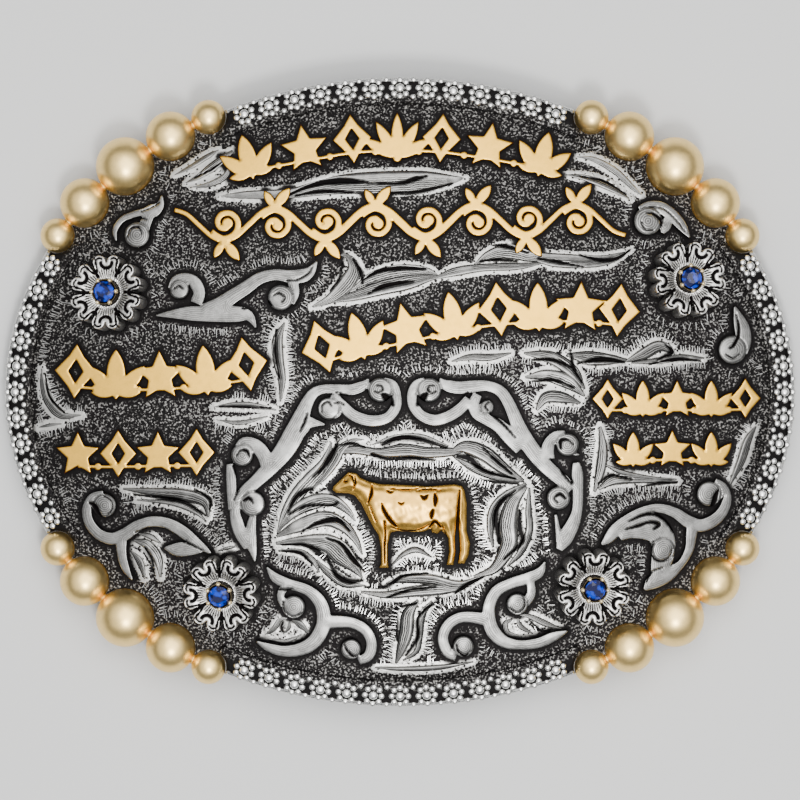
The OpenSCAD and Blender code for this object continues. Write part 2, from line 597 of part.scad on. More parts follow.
// A wire loop behind the left side, which the belt's end is fastened round
module belt_loop() {
    leg_y = loop_w / 2 + bar_r;
    corner_r = bar_r + 0.3;
    color("silver") union() {
        translate([-loop_x, leg_y, bar_r]) rotate([90, 0, 0])
            cylinder(r = bar_r, h = 2 * leg_y, $fn = 48);
        for (s = [-1, 1]) translate([-loop_x, s * leg_y, 0]) {
            translate([0, 0, corner_r]) sphere(r = corner_r, $fn = 48);
        }
        intersection() {
            dome(under_r - gap);
            for (s = [-1, 1]) translate([-loop_x, s * leg_y, 0]) {
                translate([0, 0, bar_r]) cylinder(r = bar_r - 0.05, h = crown_z, $fn = 48);
                translate([0, 0, under_z(loop_x, leg_y) - 1.1])
                    cylinder(r = 2 * bar_r, h = crown_z, $fn = 48);
            }
        }
    }
}

// A straight post with a domed end behind the right side, for a hole of the belt
module belt_hook() {
    tip_r = 1.3 * hook_r;
    color("silver") intersection() {
        dome(under_r - gap);
        translate([hook_x, 0, 0]) union() {
            intersection() {
                cylinder(r = hook_r, h = crown_z, $fn = 48);
                union() {
                    translate([0, 0, tip_r]) sphere(r = tip_r, $fn = 48);
                    translate([0, 0, tip_r]) cylinder(r = tip_r - 0.1, h = crown_z, $fn = 48);
                }
            }
            translate([0, 0, under_z(hook_x, 0) - 1])
                cylinder(r = 2 * hook_r, h = crown_z, $fn = 48);
        }
    }
}

base_plate();
trim("long", 0, long_rosettes);  // trim_top
trim("long", 180, long_rosettes);  // trim_bottom
trim("side", 180, side_rosettes);  // trim_left
trim("side", 0, side_rosettes);  // trim_right
for (c = CORNERS, i = [0 : 4])
    bead(c, i);
for (f = FLOWERS) {
    flower(f);
    setting(f);
    stone(f);
}
cow();
ornament_row(CREST_SLOTS);  // crest_row
vine_row();
ornament_row(BANNER_LEFT_SLOTS);  // banner_row_left
ornament_row(BANNER_RIGHT_SLOTS);  // banner_row_right
ornament_row(LEFT_SLOTS);  // left_row
ornament_row(RIGHT_UPPER_SLOTS);  // right_row_upper
ornament_row(RIGHT_LOWER_SLOTS);  // right_row_lower
scroll_frame_left();
scroll_frame_right();
scroll_foot_left();
scroll_foot_right();
scroll_corner_left();
scroll_corner_right();
scroll_shoulder_left();
scroll_curl_upper_left();
scroll_curl_upper_right();
scroll_curl_right();
belt_loop();
belt_hook();
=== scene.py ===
"""A western trophy buckle: the looks of every piece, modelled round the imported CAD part.

Lengths here are millimetres; a mesh is scaled to the frame's metres when it is made.
"""
import logging
import math
import random
from collections.abc import Callable, Sequence
from dataclasses import dataclass
from enum import Enum

import bmesh
import bpy
import numpy as np
from mathutils import Matrix, Vector
from mathutils.geometry import delaunay_2d_cdt
from mathutils.kdtree import KDTree


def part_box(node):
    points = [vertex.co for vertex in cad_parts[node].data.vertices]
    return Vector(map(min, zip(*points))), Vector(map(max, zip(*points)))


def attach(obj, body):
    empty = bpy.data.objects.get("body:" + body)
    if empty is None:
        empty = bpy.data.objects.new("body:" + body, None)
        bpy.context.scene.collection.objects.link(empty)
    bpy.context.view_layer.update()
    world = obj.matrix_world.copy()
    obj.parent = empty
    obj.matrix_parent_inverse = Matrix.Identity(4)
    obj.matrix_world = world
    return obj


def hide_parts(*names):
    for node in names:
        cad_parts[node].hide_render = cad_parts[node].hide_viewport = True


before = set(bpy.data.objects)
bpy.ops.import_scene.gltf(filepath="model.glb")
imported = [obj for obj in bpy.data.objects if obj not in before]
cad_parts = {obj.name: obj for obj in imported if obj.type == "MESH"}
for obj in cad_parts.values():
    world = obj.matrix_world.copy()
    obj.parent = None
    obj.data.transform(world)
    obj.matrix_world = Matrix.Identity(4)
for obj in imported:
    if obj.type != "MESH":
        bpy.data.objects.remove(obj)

log = logging.getLogger("buckle")
MM = 0.001
SEED = 11
Array = np.ndarray
Piece = bpy.types.Object
Material = bpy.types.Material
Socket = bpy.types.NodeSocket
Row = tuple[float, ...]
Faces = list[tuple[int, ...]]
Courses = tuple[tuple[Row, ...], ...]
Colour = tuple[float, float, float]
PointRule = Callable[[Array, Array], Array]
CORNERS = ("top_left", "top_right", "bottom_left", "bottom_right")


# Curves and flat shapes

def glide(rows: Sequence[Row], steps: int) -> Array:
    """Draws a smooth curve through rows of numbers.

    Args:
        rows: The points, each with as many numbers as the others.
        steps: How many points stand for each stretch between two rows.

    Returns:
        The curve's points, one to a line.
    """
    p = np.array(rows, float)
    p = np.vstack([2 * p[0] - p[1], p, 2 * p[-1] - p[-2]])
    t = np.linspace(0, 1, steps, endpoint=False)[:, None]
    parts = []
    for a, b, c, d in zip(p, p[1:], p[2:], p[3:]):
        parts.append(0.5 * (2 * b + (c - a) * t + (2 * a - 5 * b + 4 * c - d) * t ** 2
                            + (3 * b - a - 3 * c + d) * t ** 3))
    return np.vstack(parts + [p[-2:-1]])


def even_curve(rows: Sequence[Row], step: float) -> Array:
    """Draws a smooth curve through rows, with its points an even step apart.

    Args:
        rows: The points, x and y first.
        step: The distance between two points.

    Returns:
        The curve's points, one to a line.
    """
    fine = glide(rows, 16)
    run = np.concatenate([[0], np.cumsum(np.hypot(*np.diff(fine[:, :2], axis=0).T))])
    at = np.linspace(0, run[-1], max(3, int(run[-1] / step) + 1))
    return np.stack([np.interp(at, run, fine[:, k]) for k in range(fine.shape[1])], 1)


def sides_of(path: Array) -> Array:
    """Finds which way is left along a path.

    Args:
        path: The path's points, x and y first.

    Returns:
        The unit vector to the left of each point.
    """
    along = np.gradient(path[:, :2], axis=0)
    along /= np.maximum(np.hypot(*along.T), 1e-9)[:, None]
    return np.stack([-along[:, 1], along[:, 0]], 1)


def smooth_step(value: Array, low: float, high: float) -> Array:
    """Rises smoothly from 0 to 1 as value goes from low to high."""
    t = np.clip((value - low) / (high - low), 0, 1)
    return t * t * (3 - 2 * t)


def ripple(points: Array, size: float) -> Array:
    """Makes gentle seeded waves over flat points.

    Args:
        points: The points, x and y first.
        size: About how long a wave is.

    Returns:
        The wave at each point, from -1 to 1.
    """
    draw = random.Random(SEED)
    total = np.zeros(len(points))
    for _ in range(9):
        turn, phase = draw.uniform(0, math.pi), draw.uniform(0, 2 * math.pi)
        pitch = size * draw.uniform(0.7, 1.6)
        run = points[:, 0] * math.cos(turn) + points[:, 1] * math.sin(turn)
        total += np.sin(2 * math.pi * run / pitch + phase)
    return total / 4.5


def rounding(inset: Array, radius: float) -> Array:
    """Gives how far a rounded edge lies under the flat top at each inset from the edge."""
    k = np.clip(1 - inset / radius, 0, 1)
    return radius * (1 - np.sqrt(1 - k * k))


class Nearest:
    """Finds the nearest of many flat points."""

    def __init__(self, points: Array) -> None:
        """Sorts the points into a tree.

        Args:
            points: The points, x and y first.
        """
        self.tree = KDTree(len(points))
        for i, (x, y) in enumerate(points[:, :2]):
            self.tree.insert((x, y, 0), i)
        self.tree.balance()

    def __call__(self, points: Array) -> tuple[Array, Array]:
        """Looks up many places.

        Args:
            points: The places, x and y first.

        Returns:
            The index of the nearest point to each, and its distance.
        """
        found = [self.tree.find((x, y, 0))[1:] for x, y in points[:, :2]]
        index, far = zip(*found)
        return np.array(index), np.array(far)


def cut_depth(lines: Sequence[Sequence[Row]], spots: Array, least: float, low: float,
              high: float) -> Array:
    """Works out how deep a set of lines is cut at many places.

    Args:
        lines: The lines, each with rows of x, y and width along it.
        spots: The places, x and y first.
        least: The least half width of a line.
        low: The share of its half width up to which a line keeps its full depth.
        high: The share at which it has run out.

    Returns:
        The depth at each place, from 0 to 1.
    """
    paths = np.vstack([even_curve(rows, 0.06) for rows in lines])
    index, far = Nearest(paths)(spots)
    return 1 - smooth_step(far / np.maximum(paths[index, 2] / 2, least), low, high)


@dataclass(frozen=True)
class Dome:
    """The plate's domed face, on which all the relief lies."""

    radius: float = 160.0
    crown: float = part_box("base_plate")[1].z / MM

    def height(self, x: Array, y: Array, lift: Array | float = 0.0) -> Array:
        """Gives the height over x, y of the face, or of a skin that lies lift above it."""
        return self.crown - self.radius + np.sqrt((self.radius + lift) ** 2 - x * x - y * y)

    def over(self, points: Array, lift: Array | float = 0.0) -> Array:
        """Gives the same height over many points, x and y first."""
        return self.height(points[:, 0], points[:, 1], lift)

    def stand(self, x: float, y: float) -> Matrix:
        """Places a piece that stands upright on the face.

        Args:
            x: The place from left to right.
            y: The place from bottom to top.

        Returns:
            The placing, in millimetres.
        """
        around = math.atan2(y, x)
        tilt = math.asin(math.hypot(x, y) / self.radius)
        turn = Matrix.Rotation(around, 4, "Z") @ Matrix.Rotation(tilt, 4, "Y")
        place = Matrix.Translation((x, y, float(self.height(x, y))))
        return place @ turn @ Matrix.Rotation(-around, 4, "Z")


DOME = Dome()


@dataclass
class Outline:
    """A flat shape's closed edges, with the solid on their left."""

    loops: list[Array]

    @classmethod
    def of_node(cls, node: str, place: Matrix | None = None) -> "Outline":
        """Reads a CAD node's outline off its underside.

        Args:
            node: The node's name.
            place: The placing, in millimetres, of the flat that the outline is on.

        Returns:
            The outline, seen from above.
        """
        work = bmesh.new()
        work.from_mesh(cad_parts[node].data)
        bmesh.ops.remove_doubles(work, verts=work.verts, dist=2e-6)
        work.transform(Matrix.Scale(1 / MM, 4))
        if place:
            work.transform(place.inverted())
        work.normal_update()
        for face in work.faces:
            face.tag = face.normal.z < -0.6
        follow: dict[int, int] = {}
        for face in (f for f in work.faces if f.tag):
            for loop in face.loops:
                if sum(f.tag for f in loop.edge.link_faces) == 1:
                    follow[loop.link_loop_next.vert.index] = loop.vert.index
        work.verts.ensure_lookup_table()
        spots = [(v.co.x, v.co.y) for v in work.verts]
        work.free()
        loops = []
        while follow:
            first, at = next(iter(follow.items()))
            chain = [spots[first]]
            del follow[first]
            while at in follow:
                chain.append(spots[at])
                at = follow.pop(at)
            loops.append(np.array(chain))
        return cls([loop for loop in loops if len(loop) > 2])

    def even(self, step: float) -> "Outline":
        """Adds points to the edges.

        Args:
            step: The furthest that two points may lie apart.

        Returns:
            The same edges with their old and new points.
        """
        finer = []
        for loop in self.loops:
            parts = []
            for a, b in zip(loop, np.roll(loop, -1, 0)):
                n = max(1, math.ceil(math.dist(a, b) / step))
                parts.append(a + (b - a) * (np.arange(n) / n)[:, None])
            finer.append(np.vstack(parts))
        return Outline(finer)

    def walk(self, step: float) -> tuple[Array, Array]:
        """Walks round the edges in even steps.

        Args:
            step: The length of a step.

        Returns:
            The points, and the unit vectors that point out of the shape there.
        """
        points, outward = [], []
        for loop in self.loops:
            closed = np.vstack([loop, loop[:1]])
            run = np.concatenate([[0], np.cumsum(np.hypot(*np.diff(closed, axis=0).T))])
            at = np.arange(0, run[-1], step)
            here = np.stack([np.interp(at, run, closed[:, k]) for k in (0, 1)], 1)
            along = np.roll(here, -1, 0) - np.roll(here, 1, 0)
            along /= np.maximum(np.hypot(*along.T), 1e-9)[:, None]
            points.append(here)
            outward.append(np.stack([along[:, 1], -along[:, 0]], 1))
        return np.vstack(points), np.vstack(outward)

    def distance(self, points: Array, step: float = 0.15) -> Array:
        """Gives how far each point is from the edges, which are walked in such steps."""
        return Nearest(self.walk(step)[0])(points)[1]

    def holds(self, points: Array) -> Array:
        """Tells which points lie inside the shape.

        Args:
            points: The points, x and y first.

        Returns:
            True for each point that does.
        """
        inside = np.zeros(len(points), bool)
        x, y = points[:, 0], points[:, 1]
        for loop in self.loops:
            for (ax, ay), (bx, by) in zip(loop, np.roll(loop, -1, 0)):
                if ay != by:
                    inside ^= ((ay > y) != (by > y)) & (x < ax + (y - ay) * (bx - ax) / (by - ay))
        return inside

    def grid(self, spacing: float) -> Array:
        """Fills the shape with a triangular grid.

        Args:
            spacing: The distance between two points.

        Returns:
            The grid's points inside the shape.
        """
        low = np.min([loop.min(0) for loop in self.loops], 0)
        high = np.max([loop.max(0) for loop in self.loops], 0)
        x, y = np.meshgrid(np.arange(low[0], high[0], spacing),
                           np.arange(low[1], high[1], spacing * 0.866))
        x = x + (np.arange(len(x)) % 2)[:, None] * spacing / 2
        points = np.stack([x.ravel(), y.ravel()], 1)
        return points[self.holds(points)]

    def triangles(self, points: list, chains: list[tuple[int, int]]) -> tuple[Array, Faces]:
        """Joins points inside the shape with triangles.

        Args:
            points: The points, those of the edges among them.
            chains: The edges, as pairs of places in the list.

        Returns:
            The points as they came out, and the triangles within the shape.
        """
        made, _, faces, *_ = delaunay_2d_cdt([Vector(p) for p in points], chains, [], 1, 1e-6,
                                             False)
        spots = np.array([(v.x, v.y) for v in made])
        inside = self.holds(spots[np.array(faces)].mean(1))
        return spots, [tuple(face) for face, kept in zip(faces, inside) if kept]


# Meshes

def deselect() -> None:
    """Lets go of everything, the CAD nodes too."""
    bpy.ops.object.select_all(action="DESELECT")


def pick(piece: Piece) -> Piece:
    """Selects one piece alone and makes it active.

    Args:
        piece: The piece.

    Returns:
        The same piece.
    """
    deselect()
    piece.select_set(True)
    bpy.context.view_layer.objects.active = piece
    return piece


def settle(piece: Piece) -> Piece:
    """Puts a piece's place, turn and size into its mesh.

    Args:
        piece: The piece.

    Returns:
        The same piece.
    """
    pick(piece)
    bpy.ops.object.transform_apply(location=True, rotation=True, scale=True)
    return piece


def face_outward(piece: Piece) -> Piece:
    """Merges a piece's doubles and turns all its faces outward.

    Args:
        piece: The piece.

    Returns:
        The same piece.
    """
    pick(piece)
    bpy.ops.object.mode_set(mode="EDIT")
    bpy.ops.mesh.select_all(action="SELECT")
    bpy.ops.mesh.remove_doubles(threshold=1e-7)
    bpy.ops.mesh.normals_make_consistent(inside=False)
    bpy.ops.object.mode_set(mode="OBJECT")
    return piece


def join(name: str, parts: Sequence[Piece]) -> Piece:
    """Joins parts into one piece.

    Args:
        name: The piece's name.
        parts: The parts, which are used up.

    Returns:
        The joined piece.
    """
    deselect()
    for part in parts:
        part.select_set(True)
    bpy.context.view_layer.objects.active = parts[0]
    if len(parts) > 1:
        bpy.ops.object.join()
    parts[0].name = parts[0].data.name = name
    return parts[0]


def new_object(name: str, data: bpy.types.ID) -> Piece:
    """Puts new data into the scene as an object.

    Args:
        name: The object's name.
        data: Its mesh, lamp or camera.

    Returns:
        The object.
    """
    made = bpy.data.objects.new(name, data)
    bpy.context.scene.collection.objects.link(made)
    return made


def new_ball(segments: int, rings: int, radius: float, place: Sequence[float] = (0, 0, 0)) \
        -> Piece:
    """Makes a ball.

    Args:
        segments: How many faces go round it.
        rings: How many rows of faces it has.
        radius: Its radius, in metres.
        place: Its middle, in metres.

    Returns:
        The ball.
    """
    deselect()
    bpy.ops.mesh.primitive_uv_sphere_add(segments=segments, ring_count=rings, radius=radius,
                                         location=place)
    return bpy.context.object


def mark_points(piece: Piece, name: str, values: Array) -> None:
    """Keeps a number on each point of a piece, which its material reads.

    Args:
        piece: The piece.
        name: The mark's name. One that is there already is written over.
        values: A number for each point.
    """
    marks = piece.data.attributes
    layer = marks[name] if name in marks else marks.new(name, "FLOAT", "POINT")
    layer.data.foreach_set("value", np.asarray(values, np.float32))


def points_of(piece: Piece) -> Array:
    """Reads a piece's points.

    Args:
        piece: The piece.

    Returns:
        The points, x, y and z to a line, in millimetres.
    """
    flat = np.empty(3 * len(piece.data.vertices))
    piece.data.vertices.foreach_get("co", flat)
    return flat.reshape(-1, 3) / MM


def mesh_piece(name: str, points: Array, faces: Faces, **marks: Array) -> Piece:
    """Makes a piece from points and faces.

    Args:
        name: The piece's name.
        points: The points, x, y and z to a line, in millimetres.
        faces: The faces, each with its points' places in the list.
        **marks: Numbers to keep on the points, such as their inset from the edge.

    Returns:
        The piece, shaded smooth.
    """
    mesh = bpy.data.meshes.new(name)
    mesh.from_pydata((points * MM).tolist(), [], faces)
    piece = new_object(name, mesh)
    for mark, values in marks.items():
        mark_points(piece, mark, values)
    face_outward(piece)
    bpy.ops.object.shade_smooth()
    return piece


def place_part(piece: Piece, slot: str, material: Material, *nodes: str) -> Piece:
    """Dresses a piece, has it ride on the buckle and stand for CAD nodes.

    Args:
        piece: The piece.
        slot: A material slot's name, which is not used.
        material: Its material.
        *nodes: The CAD nodes that it replaces.

    Returns:
        The piece.
    """
    piece.data.materials.clear()
    piece.data.materials.append(material)
    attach(piece, "root")
    if nodes:
        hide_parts(*nodes)
    log.info("%s: %d faces", piece.name, len(piece.data.polygons))
    return piece


def dress_node(node: str, material: Material) -> None:
    """Gives its material to a CAD node that keeps its own shape.

    Args:
        node: The node's name.
        material: The material.
    """
    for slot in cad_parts[node].material_slots:
        slot.material = material
    log.info("%s: keeps its own shape", node)


@dataclass
class Relief:
    """A solid with a finely meshed top, upright walls and a flat or domed foot.

    The rules for the top, the foot and the tone take the flat points and their insets from
    the edge, and give a number for each.
    """

    name: str
    outline: Outline
    top: PointRule
    foot: PointRule
    tone: PointRule
    spacing: float = 0.2
    rings: tuple[float, ...] = (0.06, 0.14, 0.26)
    foot_spacing: float = 0.0
    extra: Array | None = None
    wall_tone: float = 0.0

    def fill(self) -> tuple[Array, Faces, Array]:
        """Fills the outline with points and triangles.

        Returns:
            The flat points, the triangles, and each point's inset from the edge.
        """
        edge = self.outline.even(self.spacing * 1.5)
        walk, outward = edge.walk(0.05)
        nearest = Nearest(walk)
        inner = []
        for ring in self.rings:
            start, out = edge.walk(min(self.spacing, 3 * ring + 0.1))
            spots = start - out * ring
            _, far = nearest(spots)
            inner.append(spots[far > 0.93 * ring])
        grid = edge.grid(self.spacing)
        _, far = nearest(grid)
        inner.append(grid[far > self.rings[-1] + 0.5 * self.spacing])
        if self.extra is not None:
            inner.append(self.extra)
        inner_points = np.vstack(inner)
        inner_points = inner_points[edge.holds(inner_points)]
        spots, chains, count = [], [], 0
        for loop in edge.loops:
            spots += loop.tolist()
            chains += [(count + i, count + (i + 1) % len(loop)) for i in range(len(loop))]
            count += len(loop)
        points, faces = edge.triangles(spots + inner_points.tolist(), chains)
        _, inset = nearest(points)
        return points, faces, np.where(inset < 0.03, 0, inset)

    def build(self) -> Piece:
        """Makes the solid.

        Returns:
            The piece, with its points' insets and tones kept on it.
        """
        points, faces, inset = self.fill()
        count = len(points)
        sides = dict.fromkeys((a, b) for f in faces for a, b in zip(f, f[1:] + f[:1]))
        rim = [(a, b) for a, b in sides if (b, a) not in sides]
        rim_points = sorted({a for edge in rim for a in edge})
        below = {v: count + i for i, v in enumerate(rim_points)}
        order = {v: i for i, v in enumerate(rim_points)}
        top = self.top(points, inset)
        foot = self.foot(points[rim_points], inset[rim_points])
        walls = [(b, a, below[a], below[b]) for a, b in rim]
        flat = points[rim_points].tolist()
        chains = [(order[a], order[b]) for a, b in rim]
        if self.foot_spacing:
            grid = self.outline.grid(self.foot_spacing)
            flat += grid[self.outline.distance(grid, 0.2) > self.foot_spacing / 2].tolist()
        base_points, base = self.outline.triangles(flat, chains)
        start = count + len(rim_points)
        base_faces = [tuple(start + v for v in reversed(f)) for f in base]
        base_z = self.foot(base_points, np.zeros(len(base_points)))
        every = np.vstack([np.column_stack([points, top]),
                           np.column_stack([points[rim_points], foot]),
                           np.column_stack([base_points, base_z])])
        lower = np.zeros(len(every) - count)
        tone = np.concatenate([self.tone(points, inset), lower + self.wall_tone])
        return mesh_piece(self.name, every, faces + walls + base_faces,
                          inset=np.concatenate([inset, lower]), tone=tone)


# Materials

class Nodes:
    """Adds shader nodes to a tree, a line for each."""

    def __init__(self, tree: bpy.types.NodeTree) -> None:
        """Keeps the tree that the nodes go into."""
        self.tree = tree

    def add(self, kind: str, settings: dict | None = None, **inputs: object) -> bpy.types.Node:
        """Adds one node.

        Args:
            kind: The node's type, without ShaderNode before it.
            settings: Values for the node's own properties.
            **inputs: A value or an output for each input, named with _ for a blank, or
                with its place as in i0.

        Returns:
            The node.
        """
        node = self.tree.nodes.new("ShaderNode" + kind)
        for key, value in (settings or {}).items():
            setattr(node, key, value)
        for key, value in inputs.items():
            index = int(key[1:]) if key[0] == "i" and key[1:].isdigit() else key.replace("_", " ")
            if isinstance(value, Socket):
                self.tree.links.new(value, node.inputs[index])
            else:
                node.inputs[index].default_value = value
        return node

    def math(self, operation: str, *values: object) -> Socket:
        """Adds a Math node and gives its output."""
        inputs = {f"i{k}": value for k, value in enumerate(values)}
        return self.add("Math", {"operation": operation}, **inputs).outputs[0]

    def mix(self, share: object, first: object, second: object) -> Socket:
        """Mixes two colours and gives the mixture."""
        return self.add("Mix", {"data_type": "RGBA"}, i0=share, i6=first, i7=second).outputs[2]

    def ramp(self, value: object, low: float, high: float, start: float = 0.0,
             end: float = 1.0) -> Socket:
        """Maps value from low..high to start..end, smoothly and no further."""
        settings = {"interpolation_type": "SMOOTHSTEP"}
        return self.add("MapRange", settings, i0=value, i1=low, i2=high, i3=start, i4=end).outputs[0]

    def place(self) -> Socket:
        """Reads the place on the object."""
        return self.add("TexCoord").outputs["Object"]

    def mark(self, name: str) -> Socket:
        """Reads a number that is kept on the mesh's points."""
        return self.add("Attribute", {"attribute_name": name}).outputs["Fac"]

    def noise(self, place: object, scale: float, detail: float = 2.0) -> Socket:
        """Adds a noise of so many features a millimetre."""
        node = self.add("TexNoise", None, Vector=place, Scale=scale / MM, Detail=detail)
        return node.outputs["Fac"]


def new_group(name: str, inputs: dict[str, object], outputs: dict[str, str]) -> Nodes:
    """Starts a shader node group.

    Args:
        name: The group's name.
        inputs: Each input's name and starting value, a colour or a number.
        outputs: Each output's name and socket type.

    Returns:
        The group's nodes, its ends among them.
    """
    tree = bpy.data.node_groups.new(name, "ShaderNodeTree")
    for label, value in inputs.items():
        kind = "NodeSocketColor" if isinstance(value, tuple) else "NodeSocketFloat"
        socket = tree.interface.new_socket(label, in_out="INPUT", socket_type=kind)
        socket.default_value = value
    for label, kind in outputs.items():
        tree.interface.new_socket(label, in_out="OUTPUT", socket_type=kind)
    tree.nodes.new("NodeGroupInput")
    tree.nodes.new("NodeGroupOutput")
    return Nodes(tree)


def patina_group() -> bpy.types.NodeTree:
    """Builds the group for metal with dark hollows and polished heights; a low tone paints oxide in the
    hollows and, on some pieces, painted shade.

    Returns:
        The group, which puts out Colour, Roughness and Height.
    """
    group = new_group("patina", {"Polish": (0.8, 0.8, 0.8, 1.0), "Oxide": (0.02, 0.02, 0.02, 1.0),
                                 "Tone": 1.0, "Cuts": 0.0, "Blotch": 0.3, "Satin": 0.3},
                      {"Colour": "NodeSocketColor", "Roughness": "NodeSocketFloat",
                       "Height": "NodeSocketFloat"})
    ends = group.tree.nodes["Group Input"].outputs
    place = group.place()
    blotches = group.noise(place, 0.9, 4.0)
    grain = group.noise(place, 5.0, 3.0)
    uneven = group.math("ADD", group.math("MULTIPLY", blotches, 0.6),
                        group.math("MULTIPLY", grain, 0.4))
    shift = group.math("MULTIPLY", group.math("SUBTRACT", uneven, 0.5), ends["Blotch"])
    wear_and_shade = group.math("ADD", ends["Tone"], shift)
    # Where a piece's tone is painted shade, this share paints that shade as well as oxide.
    clean = group.math("MULTIPLY", group.ramp(wear_and_shade, 0.2, 0.8),
                       group.math("SUBTRACT", 1.0, ends["Cuts"]))
    dimmer = group.math("MULTIPLY", group.ramp(uneven, 0.34, 0.62, 1.0, 0.0), ends["Blotch"])
    shade = group.math("SUBTRACT", 1.0, dimmer)
    tinted = group.add("Mix", {"data_type": "RGBA", "blend_type": "MULTIPLY"}, i0=1.0,
                       i6=ends["Polish"], i7=shade).outputs[2]
    colour = group.mix(clean, ends["Oxide"], tinted)
    dulled = group.math("ADD", ends["Satin"], group.ramp(clean, 0.0, 1.0, 0.3, 0.0))
    rough = group.math("ADD", dulled, group.math("MULTIPLY", grain, 0.12))
    height = group.math("SUBTRACT", group.math("MULTIPLY", grain, 0.25), ends["Cuts"])
    out = group.tree.nodes["Group Output"]
    for label, socket in (("Colour", colour), ("Roughness", rough), ("Height", height)):
        group.tree.links.new(socket, out.inputs[label])
    return group.tree


def cuts_group() -> bpy.types.NodeTree:
    """Builds the group for fine lines at even steps of a kept number.

    Returns:
        The group, which puts out Cuts.
    """
    group = new_group("cut_lines", {"Across": 0.0, "Width": 0.35, "Patch": 0.5, "Strength": 1.0},
                      {"Cuts": "NodeSocketFloat"})
    ends = group.tree.nodes["Group Input"].outputs
    place = group.place()
    sway = group.math("MULTIPLY", group.noise(place, 1.3), 0.9)
    wave = group.math("FRACT", group.math("ADD", ends["Across"], sway))
    off = group.math("ABSOLUTE", group.math("SUBTRACT", wave, 0.5))
    line = group.math("SUBTRACT", 1.0, group.ramp(group.math("SUBTRACT", off, ends["Width"]),
                                                  -0.2, 0.12, 0.0, 1.0))
    patch = group.noise(place, 0.28, 1.0)
    shown = group.ramp(group.math("SUBTRACT", patch, ends["Patch"]), -0.06, 0.1)
    cuts = group.math("MULTIPLY", group.math("MULTIPLY", line, shown), ends["Strength"])
    group.tree.links.new(cuts, group.tree.nodes["Group Output"].inputs["Cuts"])
    return group.tree


PATINA = patina_group()
CUTS = cuts_group()


def new_material(name: str) -> Nodes:
    """Starts a node material with nothing but its output.

    Args:
        name: The material's name.

    Returns:
        The material's nodes.
    """
    material = bpy.data.materials.new(name)
    material.use_nodes = True
    material.node_tree.nodes.clear()
    material.node_tree.nodes.new("ShaderNodeOutputMaterial")
    return Nodes(material.node_tree)


def bumped(nodes: Nodes, height: Socket, strength: float, depth: float, **inputs: object) \
        -> Material:
    """Closes a material with a bumped shader.

    Args:
        nodes: The material's nodes.
        height: The bump's height, from 0 to about 1.
        strength: How strong the bump is.
        depth: How deep it is, in millimetres.
        **inputs: The shader's other inputs.

    Returns:
        The material.
    """
    bump = nodes.add("Bump", None, Strength=strength, Distance=depth * MM, Height=height)
    shader = nodes.add("BsdfPrincipled", None, Normal=bump.outputs["Normal"], **inputs)
    return close_material(nodes, shader)


def close_material(nodes: Nodes, shader: bpy.types.Node) -> Material:
    """Links a shader to its material's output.

    Args:
        nodes: The material's nodes.
        shader: The shader.

    Returns:
        The material.
    """
    out = nodes.tree.nodes["Material Output"]
    nodes.tree.links.new(shader.outputs[0], out.inputs["Surface"])
    return next(m for m in bpy.data.materials if m.node_tree == nodes.tree)


class Lines(Enum):
    """What a metal's fine engraved lines follow."""

    NONE = ""
    EDGE = "inset"
    LENGTH = "across"


@dataclass(frozen=True)
class Metal:
    """A metal that is dark in its hollows and polished on its heights, and that can paint shade along
    its edges.
    """

    name: str
    polish: Colour
    oxide: Colour
    lines: Lines = Lines.NONE
    lines_per_unit: float = 3.2
    line_patch: float = 0.45
    line_strength: float = 0.55
    blotch: float = 0.35
    satin: float = 0.3
    bump: float = 0.25
    # How far in from the edge the metal gets painted shade, in millimetres; 0 for none.
    edge_painted_shade: float = 0.0

    def material(self) -> Material:
        """Builds the material.

        Returns:
            The material.
        """
        nodes = new_material(self.name)
        tone = nodes.mark("tone")
        # Painted shade: the tone falls to the dark colour near the edge, standing in for the shading of
        # the rounded edge.
        if self.edge_painted_shade:
            rim = nodes.ramp(nodes.mark("inset"), 0.0, self.edge_painted_shade)
            tone = nodes.math("MULTIPLY", tone, rim)
        cuts: object = 0.0
        if self.lines is not Lines.NONE:
            across = nodes.math("MULTIPLY", nodes.mark(self.lines.value), self.lines_per_unit)
            strength = nodes.math("MULTIPLY", nodes.mark("hatch"), self.line_strength)
            cuts = nodes.add("Group", {"node_tree": CUTS}, Across=across, Patch=self.line_patch,
                             Strength=strength).outputs["Cuts"]
        aged = nodes.add("Group", {"node_tree": PATINA}, Polish=(*self.polish, 1.0),
                         Oxide=(*self.oxide, 1.0), Tone=tone, Cuts=cuts, Blotch=self.blotch,
                         Satin=self.satin)
        return bumped(nodes, aged.outputs["Height"], self.bump, 0.05, Metallic=1.0,
                      Base_Color=aged.outputs["Colour"], Roughness=aged.outputs["Roughness"])


